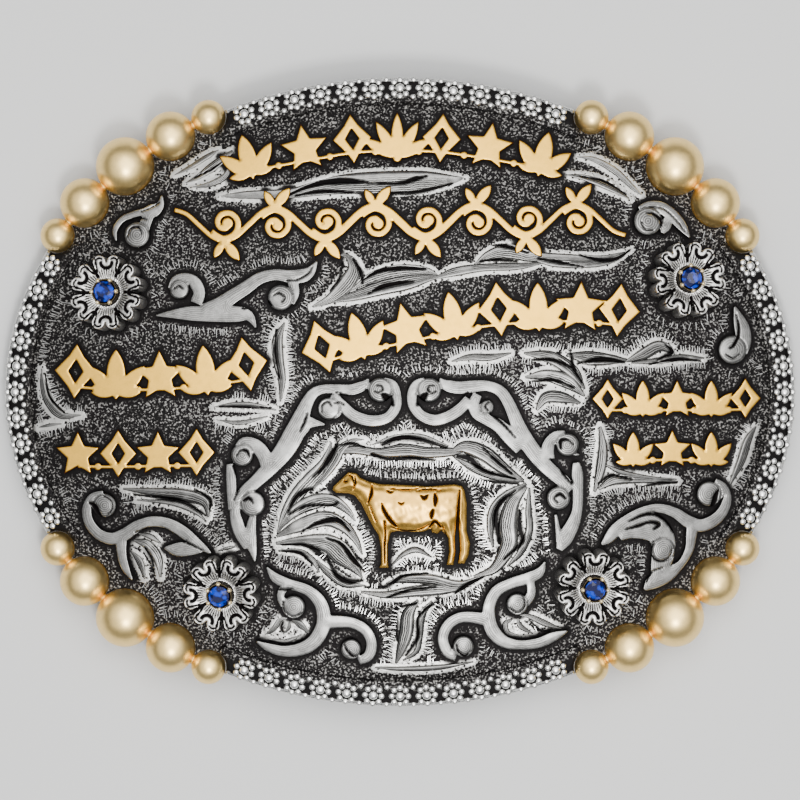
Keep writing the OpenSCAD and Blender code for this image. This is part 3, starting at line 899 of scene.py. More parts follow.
@dataclass(frozen=True)
class Stipple:
    """The sunk ground: dark, pricked all over, with bright flecks that crowd round the leaves."""

    name: str = "stippled_ground"
    dark: Colour = (0.008, 0.007, 0.007)
    fleck: Colour = (0.28, 0.27, 0.255)
    bright: Colour = (0.52, 0.51, 0.48)

    def material(self) -> Material:
        """Builds the material.

        Returns:
            The material.
        """
        nodes = new_material(self.name)
        place = nodes.place()
        near = nodes.mark("tone")
        # The shade mark darkens the ground: painted shade with oxide beside the overlays, and oxide in
        # the gouges.
        open_ground = nodes.math("SUBTRACT", 1.0, nodes.mark("shade"))
        grain = nodes.noise(place, 3.3, 3.0)
        patches = nodes.noise(place, 0.35, 2.0)
        dots = nodes.add("TexVoronoi", None, Vector=place, Scale=1.5 / MM).outputs["Distance"]
        ragged = nodes.math("ADD", near, nodes.math("MULTIPLY", grain, 0.9))
        margin = nodes.math("MULTIPLY", nodes.ramp(ragged, 0.88, 1.02), open_ground)
        holes = nodes.ramp(nodes.math("SUBTRACT", dots, nodes.math("MULTIPLY", patches, 0.42)),
                           -0.02, 0.09)
        silver = nodes.math("MULTIPLY", margin, holes)
        sparse = nodes.math("MULTIPLY", nodes.ramp(grain, 0.52, 0.66), open_ground)
        low = nodes.mix(sparse, (*self.dark, 1.0), (*self.fleck, 1.0))
        colour = nodes.mix(silver, low, (*self.bright, 1.0))
        return bumped(nodes, nodes.math("ADD", grain, silver), 0.45, 0.1, Base_Color=colour,
                      Metallic=0.9, Roughness=nodes.ramp(silver, 0.0, 1.0, 0.6, 0.38))


@dataclass(frozen=True)
class Brushed:
    """Plain sheet silver, brushed one way, with a few tarnished clouds and scratches."""

    name: str = "brushed_back_silver"
    clean: Colour = (0.62, 0.61, 0.58)
    tarnish: Colour = (0.26, 0.23, 0.19)

    def material(self) -> Material:
        """Builds the material.

        Returns:
            The material.
        """
        nodes = new_material(self.name)
        place = nodes.place()
        long_way = nodes.add("Mapping", None, Vector=place, Scale=(0.03, 1.0, 1.0)).outputs[0]
        strokes = nodes.noise(long_way, 5.0, 4.0)
        cloud = nodes.noise(place, 0.08, 5.0)
        slanted = nodes.add("Mapping", None, Vector=place, Rotation=(0.0, 0.0, 0.5),
                            Scale=(0.02, 1.0, 1.0)).outputs[0]
        scratches = nodes.ramp(nodes.noise(slanted, 2.2, 1.0), 0.71, 0.74)
        share = nodes.math("ADD", nodes.ramp(cloud, 0.5, 0.72, 0.0, 0.75),
                           nodes.math("MULTIPLY", strokes, 0.25))
        colour = nodes.mix(share, (*self.clean, 1.0), (*self.tarnish, 1.0))
        return bumped(nodes, nodes.math("SUBTRACT", strokes, scratches), 0.3, 0.03,
                      Base_Color=colour, Metallic=1.0,
                      Roughness=nodes.ramp(strokes, 0.3, 0.7, 0.32, 0.5))


@dataclass(frozen=True)
class Gem:
    """A clear cut stone of deep colour."""

    name: str = "deep_blue_glass"
    colour: Colour = (0.002, 0.04, 0.5)

    def material(self) -> Material:
        """Builds the material.

        Returns:
            The material.
        """
        nodes = new_material(self.name)
        place = nodes.place()
        depth = nodes.ramp(nodes.noise(place, 1.0, 1.0), 0.46, 0.62)
        colour = nodes.mix(depth, (0.001, 0.003, 0.045, 1.0), (*self.colour, 1.0))
        shader = nodes.add("BsdfPrincipled", None, Base_Color=colour, Roughness=0.12, IOR=1.45,
                           Transmission_Weight=0.15)
        return close_material(nodes, shader)


# Dark colours that metals fall to: oxide in the hollows, and painted shade where a piece's tone or edge
# paints it.
OXIDE_AND_PAINTED_SHADE: Colour = (0.006, 0.005, 0.005)
GOLD_OXIDE_AND_EDGE_SHADE: Colour = (0.12, 0.035, 0.006)


@dataclass(frozen=True)
class Finishes:
    """Every finish of the buckle, each made once."""

    leaves: Material
    scrolls: Material
    ornaments: Material
    cow: Material
    beads: Material
    joints: Material
    berries: Material
    flowers: Material
    settings: Material
    stones: Material
    ground: Material
    back: Material

    @classmethod
    def make(cls) -> "Finishes":
        """Builds every material.

        Returns:
            The finishes.
        """
        return cls(
            leaves=Metal("engraved_silver", (0.32, 0.315, 0.30), OXIDE_AND_PAINTED_SHADE, Lines.LENGTH,
                         lines_per_unit=1.0, line_patch=0.3, line_strength=0.9).material(),
            # The scrolls and the ornaments get painted shade along their edges.
            scrolls=Metal("scroll_silver", (0.34, 0.335, 0.32), OXIDE_AND_PAINTED_SHADE, Lines.EDGE,
                          lines_per_unit=3.6, line_patch=0.42, line_strength=0.85,
                          edge_painted_shade=0.08).material(),
            ornaments=Metal("ornament_bronze", (1.0, 0.58, 0.08), GOLD_OXIDE_AND_EDGE_SHADE, blotch=0.12,
                            edge_painted_shade=0.2, bump=0.1).material(),
            cow=Metal("cow_bronze", (0.78, 0.45, 0.09), (0.02, 0.008, 0.003), blotch=0.2,
                      bump=0.15).material(),
            beads=Metal("satin_bronze", (1.0, 0.72, 0.28), GOLD_OXIDE_AND_EDGE_SHADE, blotch=0.1, satin=0.3,
                        bump=0.12).material(),
            joints=Metal("solder_gold", (0.85, 0.58, 0.2), GOLD_OXIDE_AND_EDGE_SHADE, blotch=0.3,
                         satin=0.45).material(),
            berries=Metal("berry_silver", (0.86, 0.85, 0.82), OXIDE_AND_PAINTED_SHADE, blotch=0.25,
                          satin=0.2).material(),
            flowers=Metal("flower_silver", (0.82, 0.80, 0.76), OXIDE_AND_PAINTED_SHADE, blotch=0.4).material(),
            settings=Metal("pale_gold", (0.95, 0.78, 0.45), (0.015, 0.01, 0.006),
                           blotch=0.3).material(),
            stones=Gem().material(),
            ground=Stipple().material(),
            back=Brushed().material())


# Engraving

@dataclass(frozen=True)
class Engraving:
    """A group of engraved leaves, with the gouges that part their folds.

    A leaf or gouge is rows of x, y and width along its middle.
    """

    name: str
    leaves: Courses
    gouges: Courses
    rise: float = 0.5
    lean_rise: float = 0.22
    layer_rise: float = 0.03
    sunk: float = 0.04
    step: float = 0.17
    gouge_half: float = 0.12
    gouge_edge: tuple[float, float] = (0.55, 1.3)
    fringed: bool = True

    def cut(self, spots: Array) -> Array:
        """Gives how deep the gouges cut at each spot, from 0 to 1."""
        return cut_depth(self.gouges, spots, self.gouge_half, *self.gouge_edge)

    def leaf(self, rows: Sequence[Row], layer: float, lean: float) -> tuple[Array, ...]:
        """Shapes one leaf as a rounded ribbon.

        Args:
            rows: The leaf's middle line and widths.
            layer: How far the leaf lies above the first one.
            lean: 1 for a leaf whose left side is its high one, -1 for the other way.

        Returns:
            Its points, its faces, and each point's place across, tone and share of fine lines.
        """
        path = even_curve(rows, self.step)
        side = sides_of(path)
        half = np.maximum(path[:, 2] / 2, 0.04)
        n = max(5, int(2 * half.max() / self.step) + 1)
        v = np.linspace(-1, 1, n)
        spots = path[:, None, :2] + side[:, None] * (half[:, None] * v)[:, :, None]
        flat = spots.reshape(-1, 2)
        swell = (1 - np.abs(v) ** 3.5) ** 0.6
        peak = self.rise * np.minimum(1, half / 0.9) ** 0.7 + layer
        wave = self.lean_rise * (lean * v - 0.35 * np.cos(3.2 * v))[None, :] \
            * np.minimum(1, half)[:, None]
        lift = (swell[None, :] * (peak[:, None] + wave)).ravel()
        cut = self.cut(flat)
        lift = lift * (1 - 0.85 * cut) - self.sunk
        count = len(path)
        hatch = np.tile(smooth_step(-lean * v, -0.9, 0.1), count)
        faces = [(i * n + j, (i + 1) * n + j, (i + 1) * n + j + 1, i * n + j + 1)
                 for i in range(count - 1) for j in range(n - 1)]
        faces += [(i * n + n - 1, (i + 1) * n + n - 1, (i + 1) * n, i * n)
                  for i in range(count - 1)]
        faces += [tuple(range(n)), tuple(range(count * n - 1, (count - 1) * n - 1, -1))]
        points = np.column_stack([flat, DOME.over(flat, lift)])
        across = np.tile(v * max(3, half.max() * 3.2), count)
        tone = np.tile(1 - smooth_step(np.abs(v), 0.86, 1.0), count) * (1 - cut)
        return points, faces, across, tone, hatch

    def build(self) -> Piece:
        """Makes the group's leaves as one piece.

        Returns:
            The piece, with its place across, tones and share of fine lines kept on it.
        """
        made = [self.leaf(rows, self.layer_rise * i, 1 - 2 * (i % 2))
                for i, rows in enumerate(self.leaves)]
        faces, count = [], 0
        for points, around, *_ in made:
            faces += [tuple(count + k for k in face) for face in around]
            count += len(points)
        points, _, across, tone, hatch = zip(*made)
        return mesh_piece(self.name, np.vstack(points), faces, across=np.concatenate(across),
                          tone=np.concatenate(tone), hatch=np.concatenate(hatch))

    def border(self, step: float) -> tuple[Array, Array]:
        """Walks along both sides of every leaf.

        Args:
            step: The length of a step.

        Returns:
            The border's points and the unit vectors that point away from the leaves.
        """
        spots, outward = [], []
        for rows in self.leaves:
            path = even_curve(rows, step)
            side = sides_of(path)
            for s in (-1, 1):
                spots.append(path[:, :2] + s * side * path[:, 2:3] / 2)
                outward.append(s * side)
        return np.vstack(spots), np.vstack(outward)

    def gouge_points(self) -> Array:
        """Finds where a mesh needs points for the gouges.

        Returns:
            The points, along both sides of every gouge.
        """
        found = []
        for rows in self.gouges:
            path = even_curve(rows, 0.22)
            reach = sides_of(path) * np.maximum(path[:, 2:3] / 2, self.gouge_half)
            found += [path[:, :2] + reach * k for k in (-1.35, -0.55, 0.55, 1.35)]
        return np.vstack(found)


def off_leaves(engravings: Sequence[Engraving], points: Array) -> Array:
    """Works out how far points lie outside all leaves.

    Args:
        engravings: The groups of leaves.
        points: The points, x and y first.

    Returns:
        The distance of each point, negative within a leaf.
    """
    spine = np.vstack([even_curve(rows, 0.25) for e in engravings for rows in e.leaves])
    index, far = Nearest(spine)(points)
    return far - spine[index, 2] / 2


CREST = Engraving(
    "leaves_crest",
    leaves=(
        ((-26, 28.2, 0.4), (-22, 28.4, 1.3), (-16, 28.6, 1.6), (-12, 29.3, 2.3), (-8, 29.9, 3.1),
         (-4, 30.1, 3.5), (0, 30.3, 3.3), (4, 30.4, 3.0), (7.5, 30.6, 1.4), (9.5, 30.8, 0.2)),
        ((24, 31.4, 0.3), (26.5, 31, 1.0), (29, 30.2, 1.4), (31.5, 29, 1.1), (33.4, 27.8, 0.2)),
        ((25.6, 34, 0.2), (28, 33.6, 0.9), (31, 32, 1.2), (33.6, 29.6, 0.9), (35, 28.4, 0.2)),
        ((-31, 30.2, 0.2), (-29, 31.2, 1.0), (-26.8, 32.8, 1.5), (-24.2, 34.8, 0.6)),
        ((-30, 29.6, 0.2), (-27.4, 30, 1.0), (-25.2, 31.2, 1.1), (-24.2, 33.4, 0.3)),
        ((-32.6, 31.4, 0.2), (-30.2, 32.6, 0.8), (-27.6, 34.2, 0.9), (-26.2, 35, 0.2))),
    gouges=(
        ((-16, 28.4, 0.1), (-13.5, 29.5, 0.5), (-11, 30.2, 0.8), (-8, 30.4, 0.9), (-4.7, 30.2, 0.2)),
        ((-4.6, 30.1, 0.15), (0, 30.1, 0.4), (2.2, 30.7, 0.6), (3.8, 31.1, 0.15)),
        ((-15, 28.3, 0.1), (-11, 28.9, 0.5), (-4.8, 28.6, 0.1)),
        ((-2.2, 28.8, 0.15), (1, 28.6, 0.5), (4, 29.1, 0.5), (7.5, 30, 0.1)),
        ((26, 31.2, 0.1), (29.6, 30.4, 0.4), (32.6, 28.6, 0.1)),
        ((-29.6, 31, 0.1), (-26.8, 32.4, 0.4), (-24.8, 34, 0.1))),
    fringed=False)

VINE_LEAVES = Engraving(
    "leaves_middle",
    leaves=(
        ((-12.6, 12.2, 0.4), (-10, 13.4, 1.6), (-7.8, 15.4, 2.6), (-6.6, 17.6, 2.2),
         (-7.4, 19.4, 1.0), (-8.8, 19.8, 0.3)),
        ((-10.4, 12.9, 0.4), (-6.6, 13.8, 1.6), (-2.6, 15, 2.4), (1.2, 15.8, 2.4),
         (4.2, 16.4, 1.2), (6.4, 16.7, 0.3)),
        ((-7, 14.6, 0.3), (-4, 16.4, 1.8), (0, 17.4, 2.0), (3.6, 17.4, 1.3), (5.4, 16.8, 0.3)),
        ((4.8, 16.3, 0.4), (8, 17.3, 1.5), (12, 17.9, 1.3), (17, 18.1, 1.2), (20.6, 18.6, 0.3)),
        ((10.8, 18.3, 0.4), (12.8, 19.6, 1.6), (15.6, 20.2, 2.4), (19, 19.5, 1.8),
         (24, 19.3, 1.3), (29, 19.3, 0.9), (32.4, 20.2, 0.2)),
        ((19, 19.2, 0.4), (22, 18.6, 1.3), (26, 18.4, 1.3), (30, 18.8, 1.0), (33.4, 20.6, 0.2))),
    gouges=(
        ((-10, 14.6, 0.1), (-8.7, 16.4, 0.4), (-8.2, 18.6, 0.1)),
        ((-5.4, 15.6, 0.1), (-5.6, 17.2, 0.6), (-6.7, 19.1, 0.1)),
        ((-5.5, 16, 0.1), (-3, 17.4, 0.6), (0, 17.8, 0.6), (3.6, 17.7, 0.3)),
        ((-4.5, 14.2, 0.1), (-2, 15.3, 0.7), (1.8, 15.9, 0.3)),
        ((13.4, 21.1, 0.2), (15.2, 21, 0.6), (18.4, 20.1, 0.2)),
        ((11.6, 18.8, 0.1), (14, 19, 0.4), (16.8, 18.8, 0.2)),
        ((19.9, 19.2, 0.1), (23, 18.7, 0.4), (26.4, 18, 0.1)),
        ((26, 19.7, 0.1), (29, 19, 0.5), (31.4, 19.3, 0.5), (33.2, 20.5, 0.1))),
    fringed=False)

SIDES = Engraving(
    "leaves_sides",
    leaves=(
        ((-52, 3.6, 0.3), (-51.8, 1, 1.0), (-50.9, -1.6, 1.4), (-49, -3.4, 1.3), (-46, -3.4, 0.3)),
        ((-52.6, -5.2, 0.2), (-51, -4.8, 0.7), (-49, -4.6, 0.3)),
        ((-27, -2.2, 0.2), (-24, -1.9, 1.0), (-21, -2, 1.1), (-17.8, -2.6, 0.3)),
        ((-26.4, -4, 0.2), (-23, -4.4, 0.9), (-19, -3.5, 0.3)),
        ((-16.6, 10, 0.3), (-17.6, 7.6, 1.7), (-17.5, 4.6, 1.8), (-17, 1.6, 1.3), (-17.2, -1.4, 0.3)),
        ((7.4, 4.4, 0.3), (10, 5, 1.1), (13, 5, 1.2), (16, 5.6, 0.3)),
        ((26.6, 0.4, 0.4), (24.8, 3, 2.0), (21.6, 5, 2.0), (17.8, 5.6, 0.4)),
        ((26.6, -0.6, 0.4), (24.2, 1.4, 2.2), (21, 2.4, 1.8), (18, 2.1, 0.4)),
        ((26, -1.6, 0.4), (23.4, -0.8, 1.8), (21, -0.8, 1.8), (19.6, -2.6, 0.5)),
        ((24, 5.4, 0.5), (27, 4.9, 2.2), (30, 4.7, 1.8), (33, 4.6, 0.3)),
        ((32.6, 4.4, 0.4), (35, 5.4, 1.8), (37.4, 6.6, 1.8), (39.4, 5.8, 0.8), (38.8, 4.8, 0.2)),
        ((33.4, 4.2, 0.3), (37, 4.5, 1.1), (40.6, 5, 1.1), (44, 4.9, 0.3)),
        ((28.8, -5, 0.5), (29.2, -8, 1.5), (28.9, -11, 1.7), (28, -14.4, 0.5)),
        ((28.6, -14, 0.4), (31, -12.6, 1.8), (34.6, -12.6, 1.3), (40.2, -13, 0.3)),
        ((29.4, -10.4, 0.3), (32, -11.6, 0.9), (36, -12.4, 0.7), (40, -12.6, 0.2)),
        ((51.6, -5, 0.3), (50.4, -7, 1.3), (49.4, -10, 1.4), (47.8, -13.4, 0.4)),
        ((-40, -14, 0.3), (-36, -14.4, 1.2), (-31.4, -14.8, 1.9), (-28.2, -15.8, 1.7),
         (-27.6, -18, 0.4)),
        ((-38, -15.6, 0.2), (-33, -16, 0.9), (-29.6, -17.2, 0.9), (-28, -18.6, 0.2))),
    gouges=(
        ((-51.4, 2.6, 0.1), (-50.8, -0.6, 0.4), (-48.6, -3, 0.1)),
        ((-26, -2.1, 0.1), (-22, -2.2, 0.3), (-18.5, -2.3, 0.1)),
        ((-17.8, 9, 0.1), (-18, 6, 0.4), (-17.4, 2, 0.1)),
        ((25, 3.4, 0.1), (22, 4.6, 0.5), (18.6, 4.6, 0.2)),
        ((25, 0.6, 0.1), (22, 1.7, 0.4), (18.6, 1.4, 0.2)),
        ((24.6, 5.6, 0.2), (25, 3.4, 0.5), (26.2, 1.4, 0.1)),
        ((25.6, 4.1, 0.1), (29, 4.7, 0.7), (32.4, 4.3, 0.3)),
        ((38.4, 6.8, 0.1), (39.2, 5.8, 0.6), (37.2, 4.7, 0.2)),
        ((36, 4, 0.1), (40, 4.7, 0.5), (43.4, 4.5, 0.1)),
        ((28.6, -13.2, 0.1), (30.4, -12, 0.4), (33.4, -12.6, 0.1)),
        ((34.8, -13.7, 0.1), (37.4, -13.2, 0.5), (40, -13.1, 0.1)),
        ((-38.5, -14.8, 0.1), (-34, -15.3, 0.5), (-31, -15.9, 0.5), (-28, -17.8, 0.2)),
        ((-29.6, -14, 0.1), (-27.4, -15.4, 0.5), (-27.4, -17, 0.1))))

PANEL = Engraving(
    "leaves_panel",
    leaves=(
        ((-17.6, -20.4, 0.5), (-16.4, -17.4, 1.6), (-14.8, -14.8, 2.2), (-12.8, -12.6, 2.4),
         (-11, -10.6, 2.0), (-10.1, -8.4, 1.0), (-9.8, -6.8, 0.2)),
        ((-12.4, -13.8, 0.4), (-10.9, -12, 1.3), (-9.5, -10, 1.7), (-8.5, -8.2, 1.6),
         (-6.8, -7, 0.8), (-5, -6.8, 0.2)),
        ((-17.6, -20, 0.4), (-15.4, -17.4, 1.8), (-12.6, -15.9, 2.4), (-9.8, -15.6, 1.9),
         (-7.6, -17, 1.2), (-6.4, -18.6, 0.3)),
        ((-17.8, -20.8, 0.5), (-14.4, -19.2, 2.2), (-10.8, -18.2, 2.5), (-8.2, -19.2, 2.0),
         (-6.4, -21.2, 1.2), (-5.4, -23.4, 0.3)),
        ((-17.9, -21.8, 0.5), (-14, -21.5, 1.8), (-10.4, -21.8, 2.9), (-8.4, -23.4, 3.4),
         (-6.6, -25.2, 1.8), (-5.4, -26.8, 0.3)),
        ((-17.4, -22.8, 0.3), (-14.4, -23, 1.0), (-12.4, -24.4, 1.1), (-11.6, -26, 0.3)),
        ((-12, -24.2, 0.4), (-10.6, -25.8, 1.2), (-8, -27.6, 1.3), (-5, -27.9, 0.3)),
        ((-10, -8.8, 0.3), (-6.6, -8.3, 1.4), (-3, -8.7, 1.5), (0.6, -8.4, 2.2),
         (4, -8.7, 1.8), (7.4, -8.6, 1.4), (9, -8.6, 0.3)),
        ((-4, -7.6, 0.2), (-1, -6.6, 0.9), (3, -6.4, 0.9), (7, -7.8, 0.3)),
        ((7.2, -8.6, 0.4), (9.4, -7.9, 2.0), (12.2, -8.9, 2.5), (14.8, -10.9, 1.9), (17.8, -12.8, 0.5)),
        ((7.8, -9.4, 0.3), (10.6, -11, 1.3), (13.8, -12.3, 1.0), (17.6, -12.9, 0.4)),
        ((18.2, -13.2, 0.5), (15.4, -14.8, 1.4), (13.4, -16.8, 1.3), (13, -19.6, 1.2),
         (13.4, -22.4, 0.4)),
        ((18.2, -13.6, 0.5), (16.2, -16, 2.2), (15.5, -19, 2.8), (15.6, -22, 2.6), (13.6, -25.4, 1.6),
         (10.6, -26.6, 0.4)),
        ((18.6, -13.8, 0.4), (18.5, -17, 1.1), (18.6, -20, 1.3), (17.4, -23, 1.2), (15.4, -25.2, 0.3)),
        ((-2, -27.6, 0.3), (0.6, -27, 1.2), (4.4, -27, 1.7), (8.6, -27.8, 1.4), (12.4, -26.4, 0.4)),
        ((-5.6, -28.8, 0.4), (-2, -29.2, 1.2), (2, -28.7, 1.8), (6, -28.4, 1.8), (9.4, -28.2, 0.5)),
        ((2.6, -30, 0.5), (1.2, -32, 2.0), (0.9, -34.6, 2.2), (0.2, -37, 1.6), (-0.6, -39.2, 0.4)),
        ((4.6, -30.2, 0.4), (3.2, -32.2, 1.2), (2.9, -35, 1.0), (2.4, -37.4, 0.9), (0.4, -38.8, 0.2)),
        ((-3.6, -39.8, 0.2), (0, -40, 0.7), (5.4, -39.8, 0.9), (10.6, -39, 0.2)),
        ((-1.2, -25, 0.2), (0.4, -23.4, 0.8), (2.4, -22.7, 1.0), (4.6, -23.8, 0.2))),
    gouges=(
        ((-9, -7.4, 0.3), (-9.8, -9, 0.7), (-11, -10.8, 0.5), (-12.4, -12.2, 0.1)),
        ((-16.2, -17.4, 0.1), (-15, -15.2, 0.5), (-13.6, -14.3, 0.6), (-12.6, -13.9, 0.3)),
        ((-16, -17.6, 0.1), (-13.4, -16.4, 0.3), (-9.8, -16.3, 0.3), (-9, -15.9, 0.1)),
        ((-14, -20, 0.1), (-11.6, -18.8, 0.6), (-9, -18.4, 0.6), (-7.3, -19.9, 0.1)),
        ((-10.6, -21, 0.15), (-8.4, -21.9, 0.5), (-6.8, -24, 0.7), (-5, -25.9, 0.15)),
        ((-10.4, -24.2, 0.2), (-9, -26.4, 0.8), (-7.4, -27.2, 0.9), (-5.4, -27.2, 0.2)),
        ((-17, -22, 0.1), (-14, -22, 0.4), (-12, -22.9, 0.8), (-11, -24.1, 0.2)),
        ((-17, -22.9, 0.1), (-14.4, -23.2, 0.5), (-12.7, -24.7, 0.2)),
        ((-8.6, -7.6, 0.1), (-7, -7.4, 0.4), (-5, -7.9, 0.1)),
        ((-2.6, -7.6, 0.4), (0, -6.6, 0.8), (3, -6.9, 0.6), (6.6, -8, 0.15)),
        ((-4, -9, 0.5), (-1.4, -9.7, 0.5), (1.6, -9.5, 0.6), (5, -9.8, 0.15)),
        ((8.2, -9.2, 0.5), (10, -9.6, 0.9), (12.2, -11.3, 0.6), (16.6, -12.5, 0.15)),
        ((12, -8, 0.1), (13.6, -9.6, 0.3), (16, -11.7, 0.1)),
        ((10, -12.6, 0.1), (13, -12.9, 0.4), (17, -13.2, 0.1)),
        ((16.6, -14.2, 0.1), (14.4, -16, 0.6), (13.8, -18.4, 0.8), (14.3, -21.8, 0.2)),
        ((17.2, -17, 0.2), (17.2, -19.4, 0.7), (17.5, -21.6, 0.6), (15, -24, 0.2)),
        ((-5, -28.1, 0.2), (-2, -28, 0.5), (0.4, -26.5, 0.4), (4, -26.1, 0.15)),
        ((-1.8, -29.6, 0.1), (1, -28.6, 0.3), (5, -28, 0.1)),
        ((2.4, -30.4, 0.2), (-0.6, -31.4, 0.5), (-0.6, -34, 0.8), (-0.4, -35.8, 0.2)),
        ((7.4, -29.6, 0.1), (4.4, -30.8, 0.4), (2.6, -32.6, 0.3), (2.5, -35.4, 0.5),
         (0.9, -38, 0.2)),
        ((8, -28.9, 0.3), (10, -27.6, 0.6), (12, -26.6, 0.15))))


FEET = Engraving(
    "leaves_feet",
    leaves=(
        ((-19.8, -35.4, 0.2), (-18.2, -34.2, 1.0), (-17.3, -32.9, 0.8), (-16, -32.7, 0.3)),
        ((-16, -33, 0.3), (-16, -34, 0.8), (-16.9, -35, 0.3)),
        ((-15.6, -32.9, 0.3), (-14.4, -33.6, 1.2), (-13.1, -34.8, 0.3)),
        ((-18.9, -35.7, 0.2), (-16.4, -35.9, 0.8), (-14.2, -35, 0.3)),
        ((23.4, -34.2, 0.2), (21, -33.4, 1.1), (18.8, -32.4, 0.9), (17.2, -32.1, 0.3)),
        ((17, -32.6, 0.3), (17.4, -33.8, 1.0), (19.2, -34.9, 0.3)),
        ((16.2, -32.8, 0.3), (15.2, -33.4, 1.0), (15.6, -34.8, 0.9), (17.6, -35.3, 0.3)),
        ((-38.6, -21.4, 0.3), (-36.6, -22, 1.6), (-35, -24, 1.6), (-34.6, -26.8, 0.4)),
        ((-38.9, -23, 0.3), (-37.6, -24.6, 1.2), (-36.9, -27, 0.4)),
        ((-37.8, -20.4, 0.3), (-36, -20.9, 1.0), (-34.6, -21.8, 0.3)),
        ((-26.2, -22.9, 0.2), (-24.8, -22.5, 0.6), (-23.2, -22.2, 0.2))),
    gouges=(
        ((-18.7, -36.1, 0.1), (-16.2, -36.5, 0.3), (-14, -35.9, 0.1)),
        ((-16.9, -33.2, 0.3), (-17.1, -34, 0.6), (-16.9, -34.6, 0.3)),
        ((-36.9, -22.4, 0.2), (-35.9, -24, 0.4), (-35.6, -26, 0.1)),
        ((18.9, -33.2, 0.1), (20.4, -34.4, 0.3), (22, -34.3, 0.1))),
    fringed=False)


def bead_circles() -> Outline:
    """Finds what the corners' beads cover, seen from above.

    Returns:
        One circle for each bead.
    """
    loops = []
    around = np.linspace(0, 2 * math.pi, 48, endpoint=False)
    for corner in CORNERS:
        for number in range(1, 6):
            low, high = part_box(f"bead_{corner}_{number}")
            middle, radius = (low + high) / 2 / MM, (high.z - low.z) / 2 / MM
            loops.append(np.stack([middle.x + radius * np.cos(around),
                                   middle.y + radius * np.sin(around)], 1))
    return Outline(loops)


@dataclass
class Plate:
    """The domed plate, with its stippled ground, its rim and its plain back."""

    finishes: Finishes
    engravings: Sequence[Engraving]
    overlays: Outline
    thickness: float = 1.6
    spacing: float = 0.36
    roughness: float = 0.05

    def ground(self, points: Array, inset: Array) -> Array:
        """Works out the pricked ground.

        Args:
            points: The flat points.
            inset: Their distances from the edge.

        Returns:
            The height at each point.
        """
        jitter = np.random.default_rng(SEED).uniform(-1, 0.4, len(points)) * self.roughness
        swell = 0.14 * self.near_leaves(points, inset) ** 0.5
        for engraving in self.engravings:
            swell = swell - 0.2 * engraving.cut(points)
        return DOME.over(points, (jitter + swell) * (inset > 0.3))

    def under(self, points: Array, inset: Array) -> Array:
        """Gives the back's heights."""
        return DOME.over(points, -self.thickness)

    def near_leaves(self, points: Array, inset: Array) -> Array:
        """Tells what lies beside the leaves.

        Args:
            points: The flat points.
            inset: Their distances from the edge.

        Returns:
            1 for each point beside a leaf, falling to 0 further off.
        """
        return 1 - np.clip(off_leaves(self.engravings, points) / 0.95, 0, 1)

    def shade(self, points: Array) -> Array:
        """Tells where the ground is painted darkest: painted shade with oxide beside the overlays, and
        oxide in the gouges.

        Args:
            points: The mesh's points.

        Returns:
            1 for each point in a gouge or beside an overlay, falling to 0 further off.
        """
        near = 1 - smooth_step(self.overlays.distance(points), 0.45, 0.9)
        return np.maximum.reduce([near, *(e.cut(points) for e in self.engravings)])

    def build(self) -> Piece:
        """Makes the plate, stippled on its face and plain on its back.

        Returns:
            The piece.
        """
        shape = Relief("engraved_plate", Outline.of_node("base_plate"), self.ground, self.under,
                       self.near_leaves, self.spacing, rings=(0.2,), foot_spacing=2.5,
                       extra=np.vstack([e.gouge_points() for e in self.engravings]))
        piece = shape.build()
        bpy.ops.object.shade_smooth_by_angle(angle=math.radians(60))
        points = points_of(piece)
        mark_points(piece, "shade", self.shade(points))
        place_part(piece, "antiqued_silver", self.finishes.ground, "base_plate")
        piece.data.materials.append(self.finishes.back)
        low = points[:, 2] < DOME.over(points, -0.5 * self.thickness)
        for polygon in piece.data.polygons:
            if any(low[v] for v in polygon.vertices):
                polygon.material_index = 1
        return piece


